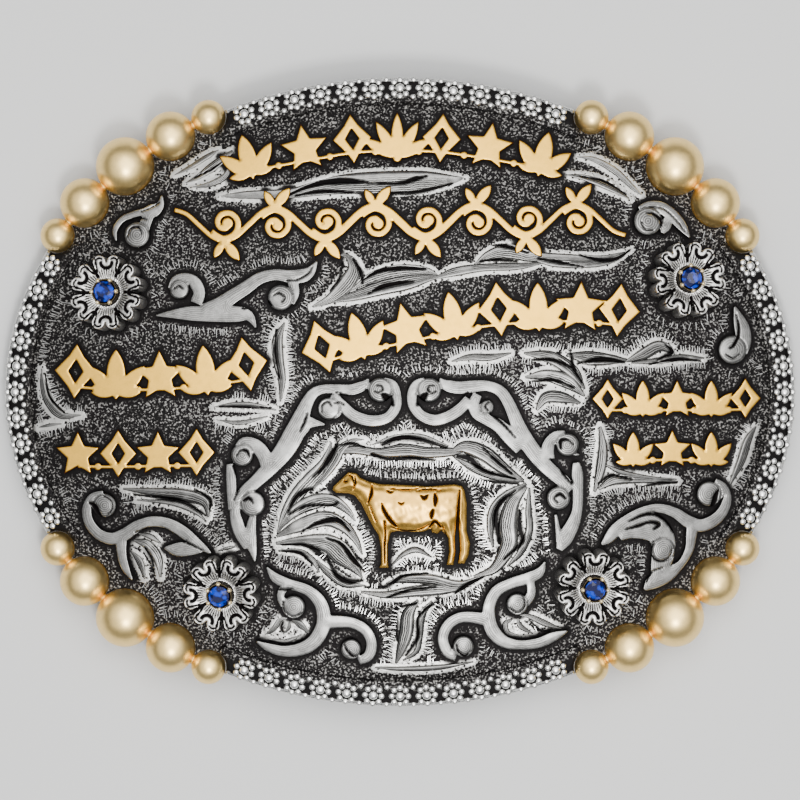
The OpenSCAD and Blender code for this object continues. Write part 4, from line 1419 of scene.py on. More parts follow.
@dataclass
class Fringe:
    """Short cuts that stand out square from an edge, each a thin ridge of bright silver."""

    name: str
    finishes: Finishes
    overlays: Outline
    solid: Outline
    plate: Outline
    engravings: Sequence[Engraving]
    bordered: Sequence[Engraving]
    gap: float = 0.85
    length: float = 1.2
    step: float = 0.36
    width: float = 0.24
    height: float = 0.17
    tone: float = 1.0
    leaf_gap: float = 0.3

    def starts(self) -> tuple[Array, ...]:
        """Finds where the strokes begin.

        Returns:
            The points, their outward unit vectors, the gap before each stroke, and whether it
            starts at a leaf.
        """
        walks = [(self.overlays.walk(self.step), self.gap)]
        walks += [(e.border(self.step), self.leaf_gap) for e in self.bordered]
        points = np.vstack([w[0] for w, _ in walks])
        outward = np.vstack([w[1] for w, _ in walks])
        gaps = np.concatenate([np.full(len(w[0]), gap) for w, gap in walks])
        return points, outward, gaps, np.arange(len(points)) >= len(walks[0][0][0])

    def free(self, points: Array, reach: Array | float, off_leaf: Array | float) -> Array:
        """Tells which points are clear of everything raised.

        Args:
            points: The flat points.
            reach: How far a point has to be from every overlay.
            off_leaf: How far it has to be from the leaves.

        Returns:
            True for each point that is clear and within the plate.
        """
        clear = (self.solid.distance(points) > reach) \
            & (off_leaves(self.engravings, points) > off_leaf)
        return clear & ~self.solid.holds(points) & self.plate.holds(points)

    def thin(self, points: Array) -> Array:
        """Picks points that don't crowd each other.

        Args:
            points: The flat points.

        Returns:
            True for each point that no earlier one crowds.
        """
        keep = np.ones(len(points), bool)
        tree = Nearest(points).tree
        for i, (x, y) in enumerate(points):
            if keep[i]:
                for _, j, _ in tree.find_range((x, y, 0), 0.62 * self.step):
                    if j > i:
                        keep[j] = False
        return keep

    def build(self) -> Piece:
        """Makes all the strokes as one piece.

        Returns:
            The piece.
        """
        draw = np.random.default_rng(SEED + 1)
        points, outward, gaps, at_leaf = self.starts()
        count = len(points)
        angle = draw.normal(0, 0.09, count)
        cos, sin = np.cos(angle), np.sin(angle)
        way = np.stack([cos * outward[:, 0] - sin * outward[:, 1],
                        sin * outward[:, 0] + cos * outward[:, 1]], 1)
        length = self.length * draw.uniform(0.6, 1.1, count)
        begin = points + way * (gaps + draw.uniform(-0.1, 0.15, count))[:, None]
        end = begin + way * length[:, None]
        run = 0.78 * (gaps + length)
        keep = self.free(begin, 0.5, 0.2)
        keep &= self.free(end, np.where(at_leaf, 0.7, run), np.where(at_leaf, run, 0.3))
        keep[keep] = self.thin(((begin + end) / 2)[keep])
        begin, end, way = begin[keep], end[keep], way[keep]
        side = np.stack([-way[:, 1], way[:, 0]], 1) * self.width / 2
        tall = self.height * draw.uniform(0.8, 1.3, len(begin))
        top_a, top_b = begin + 0.1 * (end - begin), begin + 0.88 * (end - begin)
        foot = -0.1
        corners = ((begin + side, foot), (begin - side, foot), (end - side * 0.5, foot),
                   (end + side * 0.5, foot), (top_a + side * 0.55, tall),
                   (top_a - side * 0.55, tall), (top_b - side * 0.25, tall * 0.7),
                   (top_b + side * 0.25, tall * 0.7))
        blocks = [np.column_stack([p, DOME.over(p, lift)]) for p, lift in corners]
        every = np.stack(blocks, 1).reshape(-1, 3)
        pattern = ((4, 5, 6, 7), (0, 1, 5, 4), (1, 2, 6, 5), (2, 3, 7, 6), (3, 0, 4, 7),
                   (3, 2, 1, 0))
        faces = [tuple(8 * i + v for v in f) for i in range(len(begin)) for f in pattern]
        tone = np.tile([0.0] * 4 + [self.tone] * 4, len(begin))
        piece = mesh_piece(self.name, every, faces, tone=tone)
        bpy.ops.object.shade_flat()
        return place_part(piece, "antiqued_silver", self.finishes.berries)


# Overlays

SCROLL_CUTS: Courses = (
    ((-9.2, -0.05, 0.15), (-8, -0.5, 0.3), (-6.6, -0.7, 0.3), (-5.4, -0.4, 0.25), (-4.9, 0.3, 0.1)),
    ((-2.6, -0.3, 0.3), (-2.1, -0.7, 0.9), (-1.5, -1.3, 1.0), (-1.0, -1.9, 0.3)),
    ((-3.7, 0.1, 0.1), (-3.1, -0.1, 0.15), (-2.5, 0.3, 0.2), (-2.7, 0.9, 0.15), (-3.4, 1, 0.1)),
    ((-11.3, -2.9, 0.1), (-11.2, -1.9, 0.2), (-10.4, -1.4, 0.2), (-9.8, -2, 0.15)),
    ((-9.4, -1.6, 0.1), (-8.6, -1.5, 0.15), (-8, -1.9, 0.1)),
    ((-13.3, -3.1, 0.15), (-13.7, -4.3, 0.3), (-14.4, -5.7, 0.1)),
    ((-23.6, -9.2, 0.1), (-22.9, -8.4, 0.2), (-22, -8.5, 0.4), (-21.7, -9.3, 0.1)),
    ((-24.0, -10.6, 0.2), (-23.4, -12.4, 0.25), (-23.3, -14, 0.3), (-23.9, -15.6, 0.1)),
    ((-22.5, -15.6, 0.3), (-21.7, -15.3, 0.4), (-21.1, -16, 0.1)),
    ((3.9, -0.2, 0.3), (3.4, -0.7, 0.9), (2.9, -1.4, 1.0), (2.5, -1.9, 0.3)),
    ((5.2, 0.1, 0.1), (4.6, -0.2, 0.15), (4, 0.3, 0.2), (4.2, 0.9, 0.15), (4.9, 1, 0.1)),
    ((9.8, -0.1, 0.1), (8.6, -0.6, 0.25), (7.2, -0.5, 0.25), (6.2, 0.2, 0.1)),
    ((12.8, -1.4, 0.1), (12.2, -2, 0.2), (12.6, -2.7, 0.1)),
    ((12.8, -3, 0.2), (14.6, -4.4, 0.3), (16.6, -6.6, 0.1)),
    ((25, -7.6, 0.1), (24.2, -6.9, 0.2), (23.1, -7, 0.5), (23.1, -8.2, 0.2)),
    ((22.8, -10.4, 0.2), (23.6, -11.9, 0.3), (24.8, -13.3, 0.1)),
    ((24.3, -10.4, 0.15), (24.3, -11.8, 0.3), (24.9, -13.1, 0.1)),
    ((23.8, -15.3, 0.3), (23, -14.7, 0.4), (22.2, -15.3, 0.2), (22.7, -16, 0.1)),
    ((-8.1, -36.4, 0.1), (-7.6, -37.3, 0.25), (-6.7, -38.1, 0.3), (-5.6, -37.8, 0.1)),
    ((-16.9, -30.2, 0.1), (-16.6, -31.6, 0.15), (-15.4, -32.4, 0.15), (-14.2, -31.9, 0.1)),
    ((-17.6, -28.4, 0.2), (-16.2, -28.5, 0.3), (-15.4, -28.3, 0.1)),
    ((8.1, -36.4, 0.1), (8.4, -37.4, 0.25), (9.3, -38, 0.3), (10.2, -37.4, 0.1)),
    ((17.8, -29.4, 0.1), (18, -30.8, 0.15), (17, -31.8, 0.15), (15.8, -31.2, 0.1)),
    ((-44.9, -16, 0.3), (-44.1, -16.5, 0.7), (-43.6, -17.4, 0.6), (-43, -18.1, 0.2)),
    ((-42.8, -15, 0.1), (-41.7, -15.8, 0.15), (-41.6, -17, 0.15), (-42.4, -17.9, 0.1)),
    ((-38.2, -20.3, 0.1), (-36.4, -19.6, 0.2), (-34, -19.7, 0.2), (-32, -20.8, 0.1)),
    ((-33.6, -20.9, 0.1), (-31, -21.6, 0.3), (-28.4, -22.9, 0.1)),
    ((46, -14.2, 0.3), (45.6, -15, 0.7), (45.4, -15.8, 0.8), (44.9, -16.6, 0.3)),
    ((33, -18.7, 0.15), (34.8, -17.85, 0.35), (36.6, -17.6, 0.4), (38.3, -18.5, 0.4),
     (39.5, -20.2, 0.3)),
    ((32.6, -19.8, 0.15), (34.4, -19.3, 0.4), (36, -18.8, 0.3), (37.3, -19.1, 0.6), (36.6, -19.9, 0.15)),
    ((36.6, -21.6, 0.1), (36.2, -23.2, 0.2), (37.2, -24.4, 0.2), (38.8, -24, 0.15), (39.3, -22.8, 0.1)),
    ((31, -21.8, 0.1), (33, -21.5, 0.2), (35.4, -21.8, 0.1)),
    ((35.6, -27.4, 0.1), (36.4, -26, 0.2), (38, -25.4, 0.1)),
    ((48.6, 11.4, 0.1), (49, 9.6, 0.3), (48.9, 8, 0.4), (48.2, 6.7, 0.4), (47.6, 6.3, 0.1)),
    ((47.2, 5.4, 0.1), (48.2, 4.9, 0.15), (49.2, 5.5, 0.1)),
    ((35.6, 25.9, 0.2), (36.6, 25.7, 0.4), (37.6, 24.9, 0.5), (37.7, 24, 0.2)),
    ((36.2, 26.8, 0.1), (38.2, 26.4, 0.15), (40, 24.8, 0.15), (41.2, 23.2, 0.1)),
    ((34.8, 24.6, 0.1), (35.4, 23.5, 0.15), (36.6, 23.4, 0.1)),
    ((-39.4, 22.4, 0.1), (-38.9, 23.6, 0.2), (-37.8, 23.8, 0.25), (-37.3, 22.8, 0.1)),
    ((-38.6, 25.1, 0.1), (-37.6, 25.2, 0.3), (-36.6, 24.9, 0.1)),
    ((-37.4, 26.1, 0.1), (-36, 26.6, 0.2), (-34.7, 27.4, 0.1)),
    ((-22.8, 12.0, 0.1), (-21.2, 12.9, 0.3), (-19.2, 13.1, 0.35), (-18.4, 12.4, 0.2)),
    ((-22.6, 12.0, 0.1), (-20.8, 12.2, 0.25), (-19.4, 11.8, 0.1)),
    ((-16.3, 16, 0.1), (-14.8, 16.1, 0.2), (-13.2, 17, 0.2), (-12.6, 17.9, 0.1)),
    ((-18.2, 13.9, 0.1), (-17.4, 14.2, 0.2), (-16.6, 13.6, 0.15), (-17, 12.9, 0.1)),
    ((-32.6, 14.9, 0.1), (-31.9, 15.3, 0.2), (-31.2, 14.8, 0.15)))


EYES: tuple[Row, ...] = (
    (-2.85, 0.3, 1.8), (-10.2, -2.4, 1.65), (-22.7, -9.1, 1.65), (-21.2, -16.1, 1.85),
    (4.2, 0.3, 1.8), (12.5, -2.2, 1.05), (24.1, -7.6, 1.7), (22.8, -15.3, 1.75),
    (-15.3, -31, 1.7), (-7.05, -37.1, 1.5), (16.9, -30.6, 1.6), (9.15, -36.7, 1.55),
    (-42.7, -16.4, 1.75), (44.7, -14.75, 1.85), (38.1, -22.8, 1.75), (-17.15, 13.55, 1.9),
    (-31.8, 14.8, 1.45), (-38, 22.7, 1.9), (35.8, 24.7, 2.1), (48.1, 6.1, 2.1))


@dataclass
class Overlay:
    """A cut sheet laid on the dome, with rounded edges."""

    node: str
    slot: str
    material: Material
    thickness: float
    edge: float
    crown: float = 0.0
    spacing: float = 0.2
    gap: float = 0.06
    sunk: float = 0.05
    rings: tuple[float, ...] = (0.06, 0.14, 0.26)
    wall_tone: float = 0.35

    def top(self, points: Array, inset: Array) -> Array:
        """Works out the top, rounded at the edge and swelling towards the middle.

        Args:
            points: The flat points.
            inset: Their distances from the edge.

        Returns:
            The height at each point.
        """
        swell = self.crown * smooth_step(inset, 0.0, 1.0)
        lift = self.gap + self.thickness - rounding(inset, self.edge) - self.crown + swell
        return DOME.over(points, lift)

    def foot(self, points: Array, inset: Array) -> Array:
        """Gives the underside's heights, just below the plate's skin."""
        return DOME.over(points, -self.sunk)

    def tone(self, points: Array, inset: Array) -> Array:
        """Gives how clean the polish is, here the same all over."""
        return np.ones(len(points))

    def shape(self) -> Piece:
        """Makes the overlay's mesh on the CAD node's outline."""
        return Relief(self.node + "_relief", Outline.of_node(self.node), self.top, self.foot,
                      self.tone, self.spacing, self.rings, wall_tone=self.wall_tone).build()

    def build(self) -> Piece:
        """Makes the overlay in the CAD node's place."""
        return place_part(self.shape(), self.slot, self.material, self.node)


@dataclass
class Scroll(Overlay):
    """A flat satin scroll, with thin cuts round its eyes and between its strands."""

    spacing: float = 0.17
    rings: tuple[float, ...] = (0.06, 0.14, 0.24)
    wall_tone: float = 0.0
    cuts: Courses = SCROLL_CUTS
    groove_depth: float = 0.4
    eyes: tuple[Row, ...] = EYES
    eye_rise: float = 0.16
    ring_depth: float = 0.12
    ring_scale: float = 1.7

    def cut(self, points: Array) -> Array:
        """Gives how deep a cut is at each point, from 0 to 1."""
        return cut_depth(self.cuts, points, 0.08, 0.5, 1.4)

    def eye(self, points: Array) -> Array:
        """Gives each point's distance from the nearest volute eye, where 1 is the eye's edge."""
        eyes = np.array(self.eyes)
        return (np.hypot(points[:, :1] - eyes[:, 0], points[:, 1:2] - eyes[:, 1])
                / eyes[:, 2]).min(1)

    def ring(self, eye: Array) -> Array:
        """Gives 1 on the line round an eye, falling to 0 beside it."""
        return 1 - smooth_step(np.abs(eye - 0.96), 0.02, 0.09)

    def top(self, points: Array, inset: Array) -> Array:
        """Works out the top, with the cuts and eyes in it.

        Args:
            points: The flat points.
            inset: Their distances from the edge.

        Returns:
            The height at each point.
        """
        eye = self.eye(points)
        swell = self.eye_rise * (1 - np.clip(eye, 0, 1) ** 2) - self.ring_depth * self.ring(eye)
        return super().top(points, inset) + swell - self.groove_depth * self.cut(points)

    def tone(self, points: Array, inset: Array) -> Array:
        """Gives how clean the polish is, less in the cuts and round the eyes."""
        return (1 - self.cut(points)) * (1 - 0.6 * self.ring(self.eye(points)))

    def build(self) -> Piece:
        """Makes the scroll in the CAD node's place, with rings for lines in its eyes.

        Returns:
            The piece.
        """
        piece = self.shape()
        eye = self.eye(points_of(piece))
        inset = np.empty(len(eye), np.float32)
        piece.data.attributes["inset"].data.foreach_get("value", inset)
        mark_points(piece, "inset", np.where(eye < 0.97, self.ring_scale * (1.02 - eye), inset))
        mark_points(piece, "hatch", 0.5 + 0.2 * (1 - smooth_step(eye, 0.95, 1.3)))
        return place_part(piece, self.slot, self.material, self.node)


@dataclass
class Cow(Overlay):
    """The standing cow: a rounded body with its muscles, and creases gone dark.

    A bulge is a row of x, y, its reach along x and along y, and its share of the rise.
    """

    spacing: float = 0.13
    wall_tone: float = 0.0
    flat_lift: float = 0.5
    round_rise: float = 0.6
    body_rise: float = 0.35
    wave_rise: float = 0.035
    bulge_rise: float = 0.6
    crease_depth: float = 0.5
    creases: Courses = (
        ((-2.6, -16, 0.2), (-2.3, -17, 0.5), (-1.4, -18.4, 0.6), (-0.5, -19.3, 0.4)),
        ((3.0, -14.9, 0.2), (3.5, -15.2, 0.7), (4, -14.8, 0.2)),
        ((5.0, -14.6, 0.3), (5.1, -15.4, 0.7), (5.0, -16.3, 0.3)),
        ((4.7, -17, 0.4), (4.55, -17.6, 0.6), (4.5, -18.1, 0.3)),
        ((2.4, -14.2, 0.1), (4, -13.95, 0.3), (5.8, -14.1, 0.1)),
        ((4.2, -19.4, 0.3), (5, -18.6, 0.5), (5.9, -19.4, 0.3)),
        ((8.6, -14.1, 0.2), (8.4, -16.6, 0.5), (8.25, -19.6, 0.6), (8.3, -22, 0.4), (8.4, -24, 0.2)),
        ((-6.5, -12.1, 0.1), (-6.4, -13, 0.35), (-6.7, -13.9, 0.1)),
        ((-4, -13.3, 0.1), (-4.1, -14.6, 0.5), (-4.6, -16, 0.2)),
        ((-8.0, -12.8, 0.25), (-7.8, -12.9, 0.3), (-7.6, -12.8, 0.2)),
        ((-7.4, -11.9, 0.15), (-6.9, -12.2, 0.3), (-6.6, -12.9, 0.2)),
        ((-2.2, -18.6, 0.3), (-2.1, -20.5, 0.25), (-2.2, -22, 0.35), (-2.2, -24.6, 0.2)),
        ((-4.3, -16.4, 0.1), (-3.9, -17.6, 0.2), (-3.4, -18.6, 0.1)),
        ((-1.8, -14.2, 0.3), (-1.4, -14.4, 0.35), (-1.0, -14.3, 0.2)),
        ((-0.2, -15.9, 0.2), (0.2, -16.1, 0.3), (0.5, -15.9, 0.15)),
        ((-1.2, -19.4, 0.2), (0.6, -19.9, 0.25), (2.6, -19.8, 0.25), (4.2, -19, 0.15)),
        ((6.1, -19.2, 0.15), (6.6, -20.6, 0.25), (6.9, -22.4, 0.1)),
        ((-1.2, -13.9, 0.1), (0.8, -14, 0.2), (2.6, -13.9, 0.1)))
    bulges: tuple[Row, ...] = (
        (0.6, -16.6, 3.4, 2.0, 0.75), (6.4, -16.4, 1.9, 2.2, 0.7), (-3.2, -16.2, 1.2, 2.4, 0.5),
        (-7.3, -13.2, 1.3, 0.9, 0.35), (-5.2, -13.9, 1.1, 1.1, 0.3), (5.1, -19.9, 0.7, 0.6, 0.3))

    def crease(self, points: Array) -> Array:
        """Gives how deep a crease is at each point, from 0 to 1."""
        return cut_depth(self.creases, points, 0.09, 0.4, 1.2)

    def top(self, points: Array, inset: Array) -> Array:
        """Works out the body, with its bulges and creases.

        Args:
            points: The flat points.
            inset: Their distances from the edge.

        Returns:
            The height at each point.
        """
        x, y = points[:, 0], points[:, 1]
        slope = 1 - np.clip(inset / self.edge, 0, 1)
        lift = self.gap + self.flat_lift + self.round_rise * np.sqrt(1 - slope ** 2)
        lift = lift + self.body_rise * smooth_step(inset, 0.2, 1.4) \
            + self.wave_rise * ripple(points, 1.4)
        for cx, cy, rx, ry, share in self.bulges:
            lift = lift + self.bulge_rise * share \
                * np.exp(-((x - cx) / rx) ** 2 - ((y - cy) / ry) ** 2) \
                * smooth_step(inset, 0.1, 1.1)
        lift = lift - self.crease_depth * self.crease(points) * smooth_step(inset, 0.0, 0.2)
        return DOME.height(x, y, lift)

    def tone(self, points: Array, inset: Array) -> Array:
        """Gives how clean the polish is, less in the creases; it also darkens towards the edge."""
        return (1 - self.crease(points)) * smooth_step(inset, -0.1, 0.22)


# Flowers, settings and stones

@dataclass
class Flower:
    """A raised flower of six heart-shaped petals, with a stone in its middle."""

    corner: str
    x: float
    y: float
    turn: float
    finishes: Finishes
    thickness: float = 3.2
    gap: float = 0.06
    sunk: float = 0.2
    edge: float = 0.2
    dish_depth: float = 0.55
    groove_depth: float = 0.4
    well_r: float = 2.05
    well_depth: float = 1.1
    cup_r: float = 1.9
    cup_h: float = 1.7
    cup_rim: float = 0.2
    cup_hollow: float = 0.9
    lobe_reach: float = 4.35
    prongs: int = 6
    prong_r: float = 0.33
    prong_reach: float = 1.82

    def petal_place(self, points: Array) -> tuple[Array, Array, Array]:
        """Finds where points lie on the flower.

        Args:
            points: The flat points, from the flower's middle.

        Returns:
            Each point's distance, and its place along and across its own petal.
        """
        far = np.hypot(points[:, 0], points[:, 1])
        angle = np.degrees(np.arctan2(points[:, 1], points[:, 0])) - self.turn
        off = np.radians((angle + 30) % 60 - 30)
        return far, far * np.cos(off), far * np.sin(off)

    def groove(self, points: Array, inset: Array) -> Array:
        """Works out the cuts of the petals.

        Args:
            points: The flat points, from the flower's middle.
            inset: Their distances from the edge.

        Returns:
            How deep the cuts are at each point, from 0 to 1.
        """
        far, along, across = self.petal_place(points)
        notch = np.hypot(along - self.lobe_reach, across)
        lobes = smooth_step(far, 2.9, 3.2) * smooth_step(notch, 0.7, 0.85)
        rim = (1 - smooth_step(np.abs(inset - 0.36), 0.07, 0.17)) * lobes
        smile = (1 - smooth_step(np.abs(notch - 0.84), 0.13, 0.27)) \
            * (1 - smooth_step(along, self.lobe_reach - 0.1, self.lobe_reach + 0.25))
        angle = np.arctan2(across, along)
        seam = far * math.radians(30)
        slit = smooth_step(np.abs(angle) * far, seam - 0.22, seam - 0.08) \
            * smooth_step(far, 2.3, 2.7)
        rays = 0.8 * smooth_step(np.cos(angle * 54), 0.1, 0.8) \
            * smooth_step(far, 2.0, 2.2) * (1 - smooth_step(far, 3.0, 4.0 - 0.5 * across ** 2))
        return np.clip(np.maximum.reduce([rim, smile, slit, rays]), 0, 1)

    def top(self, points: Array, inset: Array) -> Array:
        """Works out the petals' top, with the well for the cup.

        Args:
            points: The flat points, from the flower's middle.
            inset: Their distances from the edge.

        Returns:
            The height at each point.
        """
        far = np.hypot(points[:, 0], points[:, 1])
        dish = self.dish_depth * (1 - smooth_step(far, 1.6, 4.4))
        well = (self.well_depth + 0.1 - dish) * (1 - smooth_step(far, self.well_r - 0.5,
                                                                 self.well_r))
        return self.gap + self.thickness - rounding(inset, self.edge) - dish - well \
            - self.groove_depth * self.groove(points, inset)

    def foot(self, points: Array, inset: Array) -> Array:
        """Gives the underside's heights, just below the plate's skin."""
        return np.full(len(points), -self.sunk)

    def tone(self, points: Array, inset: Array) -> Array:
        """Gives how clean the polish is, less inside the rim and least in the cuts."""
        inside = smooth_step(inset, 0.3, 0.5) * smooth_step(np.hypot(*points.T), 2.2, 2.6)
        return (1 - 0.38 * inside) * (1 - self.groove(points, inset))

    def petals(self) -> Piece:
        """Makes the flower's body.

        Returns:
            The piece.
        """
        node = "flower_" + self.corner
        outline = Outline.of_node(node, DOME.stand(self.x, self.y))
        piece = Relief(node + "_petals", outline, self.top, self.foot, self.tone, spacing=0.11,
                       rings=(0.06, 0.13, 0.21), wall_tone=0.75).build()
        self.stand(piece)
        return place_part(piece, "flower_silver", self.finishes.flowers, node)

    def stand(self, piece: Piece) -> None:
        """Moves a mesh that was made upright at the origin to its place on the face.

        Args:
            piece: The piece whose mesh it is.
        """
        place = DOME.stand(self.x, self.y)
        place.translation = place.translation * MM
        piece.data.transform(place)

    def cup(self, floor_z: float) -> Piece:
        """Makes the stone's cup, hollowed from above, with a rounded rim.

        Args:
            floor_z: The height of the cup's floor over the face.

        Returns:
            The cup.
        """
        deselect()
        bpy.ops.mesh.primitive_cylinder_add(
            vertices=40, radius=self.cup_r * MM, depth=self.cup_h * MM,
            location=(0, 0, (floor_z + self.cup_h / 2) * MM))
        cup = bpy.context.object
        bpy.ops.object.mode_set(mode="EDIT")
        bpy.ops.mesh.select_all(action="DESELECT")
        bpy.ops.object.mode_set(mode="OBJECT")
        for polygon in cup.data.polygons:
            polygon.select = polygon.normal.z > 0.9
        bpy.ops.object.mode_set(mode="EDIT")
        bpy.ops.mesh.inset(thickness=self.cup_rim * MM, depth=0)
        bpy.ops.mesh.extrude_region_move(
            TRANSFORM_OT_translate={"value": (0, 0, -self.cup_hollow * MM)})
        bpy.ops.transform.resize(value=(0.55, 0.55, 1))
        bpy.ops.object.mode_set(mode="OBJECT")
        bevel = cup.modifiers.new("rim", "BEVEL")
        bevel.width = 0.1 * MM
        bevel.segments = 2
        bpy.ops.object.modifier_apply(modifier="rim")
        return cup

    def prong(self, number: int, top_z: float) -> Piece:
        """Makes one of the balls that hold the stone.

        Args:
            number: Which ball, from 0.
            top_z: The height of the cup's rim over the face.

        Returns:
            The ball.
        """
        angle = math.radians(self.turn + 30 + 60 * number)
        reach = self.prong_reach * MM
        ball = new_ball(14, 9, self.prong_r * MM, (reach * math.cos(angle),
                                                   reach * math.sin(angle), (top_z + 0.1) * MM))
        bpy.ops.transform.resize(value=(1, 1, 1.25))
        return settle(ball)

    def setting(self) -> Piece:
        """Makes the stone's cup with its balls.

        Returns:
            The piece.
        """
        floor_z = 2 * self.gap + self.thickness - self.well_depth
        top_z = floor_z + self.cup_h
        parts = [self.cup(floor_z)] + [self.prong(k, top_z) for k in range(self.prongs)]
        piece = settle(join("setting_" + self.corner + "_cup", parts))
        heights = points_of(piece)[:, 2]
        self.stand(piece)
        bpy.ops.object.shade_smooth_by_angle(angle=math.radians(50))
        mark_points(piece, "tone", smooth_step(heights, top_z - 0.1, top_z + 0.15))
        return place_part(piece, "pale_gold", self.finishes.settings, "setting_" + self.corner)

    def build(self) -> None:
        """Makes the flower and its setting, and dresses the CAD stone."""
        self.petals()
        self.setting()
        dress_node("stone_" + self.corner, self.finishes.stones)


# Edge trims and corner beads

@dataclass
class Trim:
    """A strip along the oval's edge, set with rosettes of nine berries."""

    side: str
    middle: float
    first: float
    last: float
    count: int
    finishes: Finishes
    half_l: float = 57.35
    half_h: float = 45.45
    inset: float = 1.55
    thickness: float = 0.7
    gap: float = 0.06
    core_r: float = 0.6
    berry_r: float = 0.4
    ring_r: float = 1.2
    filler_r: float = 0.34
    filler_reach: float = 1.25
    berry_widen: float = 1.2
    berry_flatten: float = 0.8

    def spot(self, degrees: float, reach: float = 0.0) -> tuple[float, float]:
        """Finds a place on the line through the rosettes.

        Args:
            degrees: The angle from the middle of the strip.
            reach: How much further out than the line the place is.

        Returns:
            The place's x and y.
        """
        a = math.radians(self.middle + degrees)
        return ((self.half_l - self.inset + reach) * math.cos(a),
                (self.half_h - self.inset + reach) * math.sin(a))

    def berries(self) -> list[tuple[float, float, float]]:
        """Lists every berry.

        Returns:
            Each berry's x, y and radius.
        """
        step = (self.last - self.first) / (self.count - 1)
        found = []
        for i in range(self.count):
            x, y = self.spot(self.first + i * step)
            found.append((x, y, self.core_r))
            for k in range(8):
                a = math.radians(45 * k) + math.atan2(y, x)
                found.append((x + self.ring_r * math.cos(a), y + self.ring_r * math.sin(a),
                              self.berry_r))
        for i in range(self.count - 1):
            for s in (-1, 1):
                found.append((*self.spot(self.first + (i + 0.5) * step, s * self.filler_reach),
                              self.filler_r))
        return found

    def cluster(self) -> Piece:
        """Makes all the berries, each the upper part of a ball, with painted shade down its flanks.

        Returns:
            The berries as one piece.
        """
        deselect()
        bpy.ops.mesh.primitive_ico_sphere_add(subdivisions=2, radius=1.0, location=(0, 0, 0))
        ball = bpy.context.object
        bpy.ops.object.mode_set(mode="EDIT")
        bpy.ops.mesh.select_all(action="SELECT")
        bpy.ops.mesh.bisect(plane_co=(0, 0, -0.35), plane_no=(0, 0, 1), clear_inner=True,
                            use_fill=True)
        bpy.ops.object.mode_set(mode="OBJECT")
        shape = np.array([v.co for v in ball.data.vertices])
        plan = [tuple(p.vertices) for p in ball.data.polygons]
        bpy.data.objects.remove(ball)
        points, faces, tone = [], [], []
        for i, (x, y, r) in enumerate(self.berries()):
            z = float(DOME.height(x, y, self.gap)) + self.thickness
            wide, tall = self.berry_widen * r, self.berry_flatten * r
            points.append(shape * (wide, wide, tall) + (x, y, z))
            faces += [tuple(i * len(shape) + v for v in face) for face in plan]
            # Painted shade and highlight: each berry is dark low on its flanks and bright on its top, as
            # light from above leaves it.
            tone.append(smooth_step(shape[:, 2], -0.3, 0.75))
        return mesh_piece("berries", np.vstack(points), faces, tone=np.concatenate(tone))

    def outward(self, points: Array) -> Array:
        """Gives each point's share of the way from the middle to the oval's edge."""
        return np.hypot(points[:, 0] / self.half_l, points[:, 1] / self.half_h)

    def tone(self, points: Array, inset: Array) -> Array:
        """Gives how clean the strip's polish is, which shows at its outer edge alone."""
        return 0.8 * smooth_step(self.outward(points), 0.988, 0.993)

    def build(self) -> Piece:
        """Makes the strip with its berries in the CAD node's place.

        Returns:
            The piece.
        """
        node = "trim_" + self.side
        base = Overlay(node, "trim_silver", self.finishes.berries, self.thickness, 0.2)
        strip = Relief("strip", Outline.of_node(node), base.top, base.foot, self.tone,
                       spacing=0.4, rings=(0.1, 0.22)).build()
        mark_points(strip, "shade", smooth_step(self.outward(points_of(strip)), 0.94, 0.955))
        cluster = self.cluster()
        first = len(cluster.data.polygons)
        piece = join(node + "_berries", [cluster, strip])
        place_part(piece, "trim_silver", self.finishes.berries, node)
        piece.data.materials.append(self.finishes.ground)
        for polygon in piece.data.polygons[first:]:
            x, y, _ = polygon.center / MM
            if math.hypot(x / self.half_l, y / self.half_h) < 0.985:
                polygon.material_index = 1
        return piece


@dataclass
class Beads:
    """The five round beads of a corner, with a drop of solder between each two."""

    corner: str
    finishes: Finishes
    drop_r: float = 0.75
    drop_flatten: float = 0.45

    def bead(self, number: int) -> tuple[Vector, float]:
        """Makes one bead.

        Args:
            number: Its number along the corner, from 1.

        Returns:
            Its middle and radius, in metres.
        """
        node = f"bead_{self.corner}_{number}"
        low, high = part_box(node)
        middle, radius = (low + high) / 2, (high.z - low.z) / 2
        piece = settle(new_ball(72, 44, radius, middle))
        piece.name = piece.data.name = node + "_round"
        bpy.ops.object.shade_smooth()
        mark_points(piece, "tone", np.ones(len(piece.data.vertices)))
        place_part(piece, "satin_bronze", self.finishes.beads, node)
        return middle, radius

    def drop(self, first: tuple[Vector, float], second: tuple[Vector, float]) -> Piece:
        """Makes the drop of solder between two beads.

        Args:
            first: The middle and radius of one bead.
            second: The middle and radius of the next.

        Returns:
            The drop.
        """
        middle, radius = first
        way = (second[0] - middle).normalized()
        piece = new_ball(24, 12, self.drop_r * MM)
        bpy.ops.transform.resize(value=(1, 1, self.drop_flatten))
        piece.rotation_euler = way.to_track_quat("Z", "Y").to_euler()
        piece.location = middle + way * radius
        return settle(piece)

    def build(self) -> None:
        """Makes the corner's beads and drops."""
        made = [self.bead(n) for n in range(1, 6)]
        drops = [self.drop(a, b) for a, b in zip(made, made[1:])]
        piece = settle(join(f"bead_{self.corner}_solder", drops))
        bpy.ops.object.shade_smooth()
        mark_points(piece, "tone", np.ones(len(piece.data.vertices)))
        place_part(piece, "satin_bronze", self.finishes.joints)


@dataclass
class Findings:
    """The belt loop and the belt hook behind the plate, which keep their CAD shape."""

    finishes: Finishes

    def build(self) -> None:
        """Dresses both in the back's brushed silver."""
        for node in ("belt_loop", "belt_hook"):
            dress_node(node, self.finishes.back)


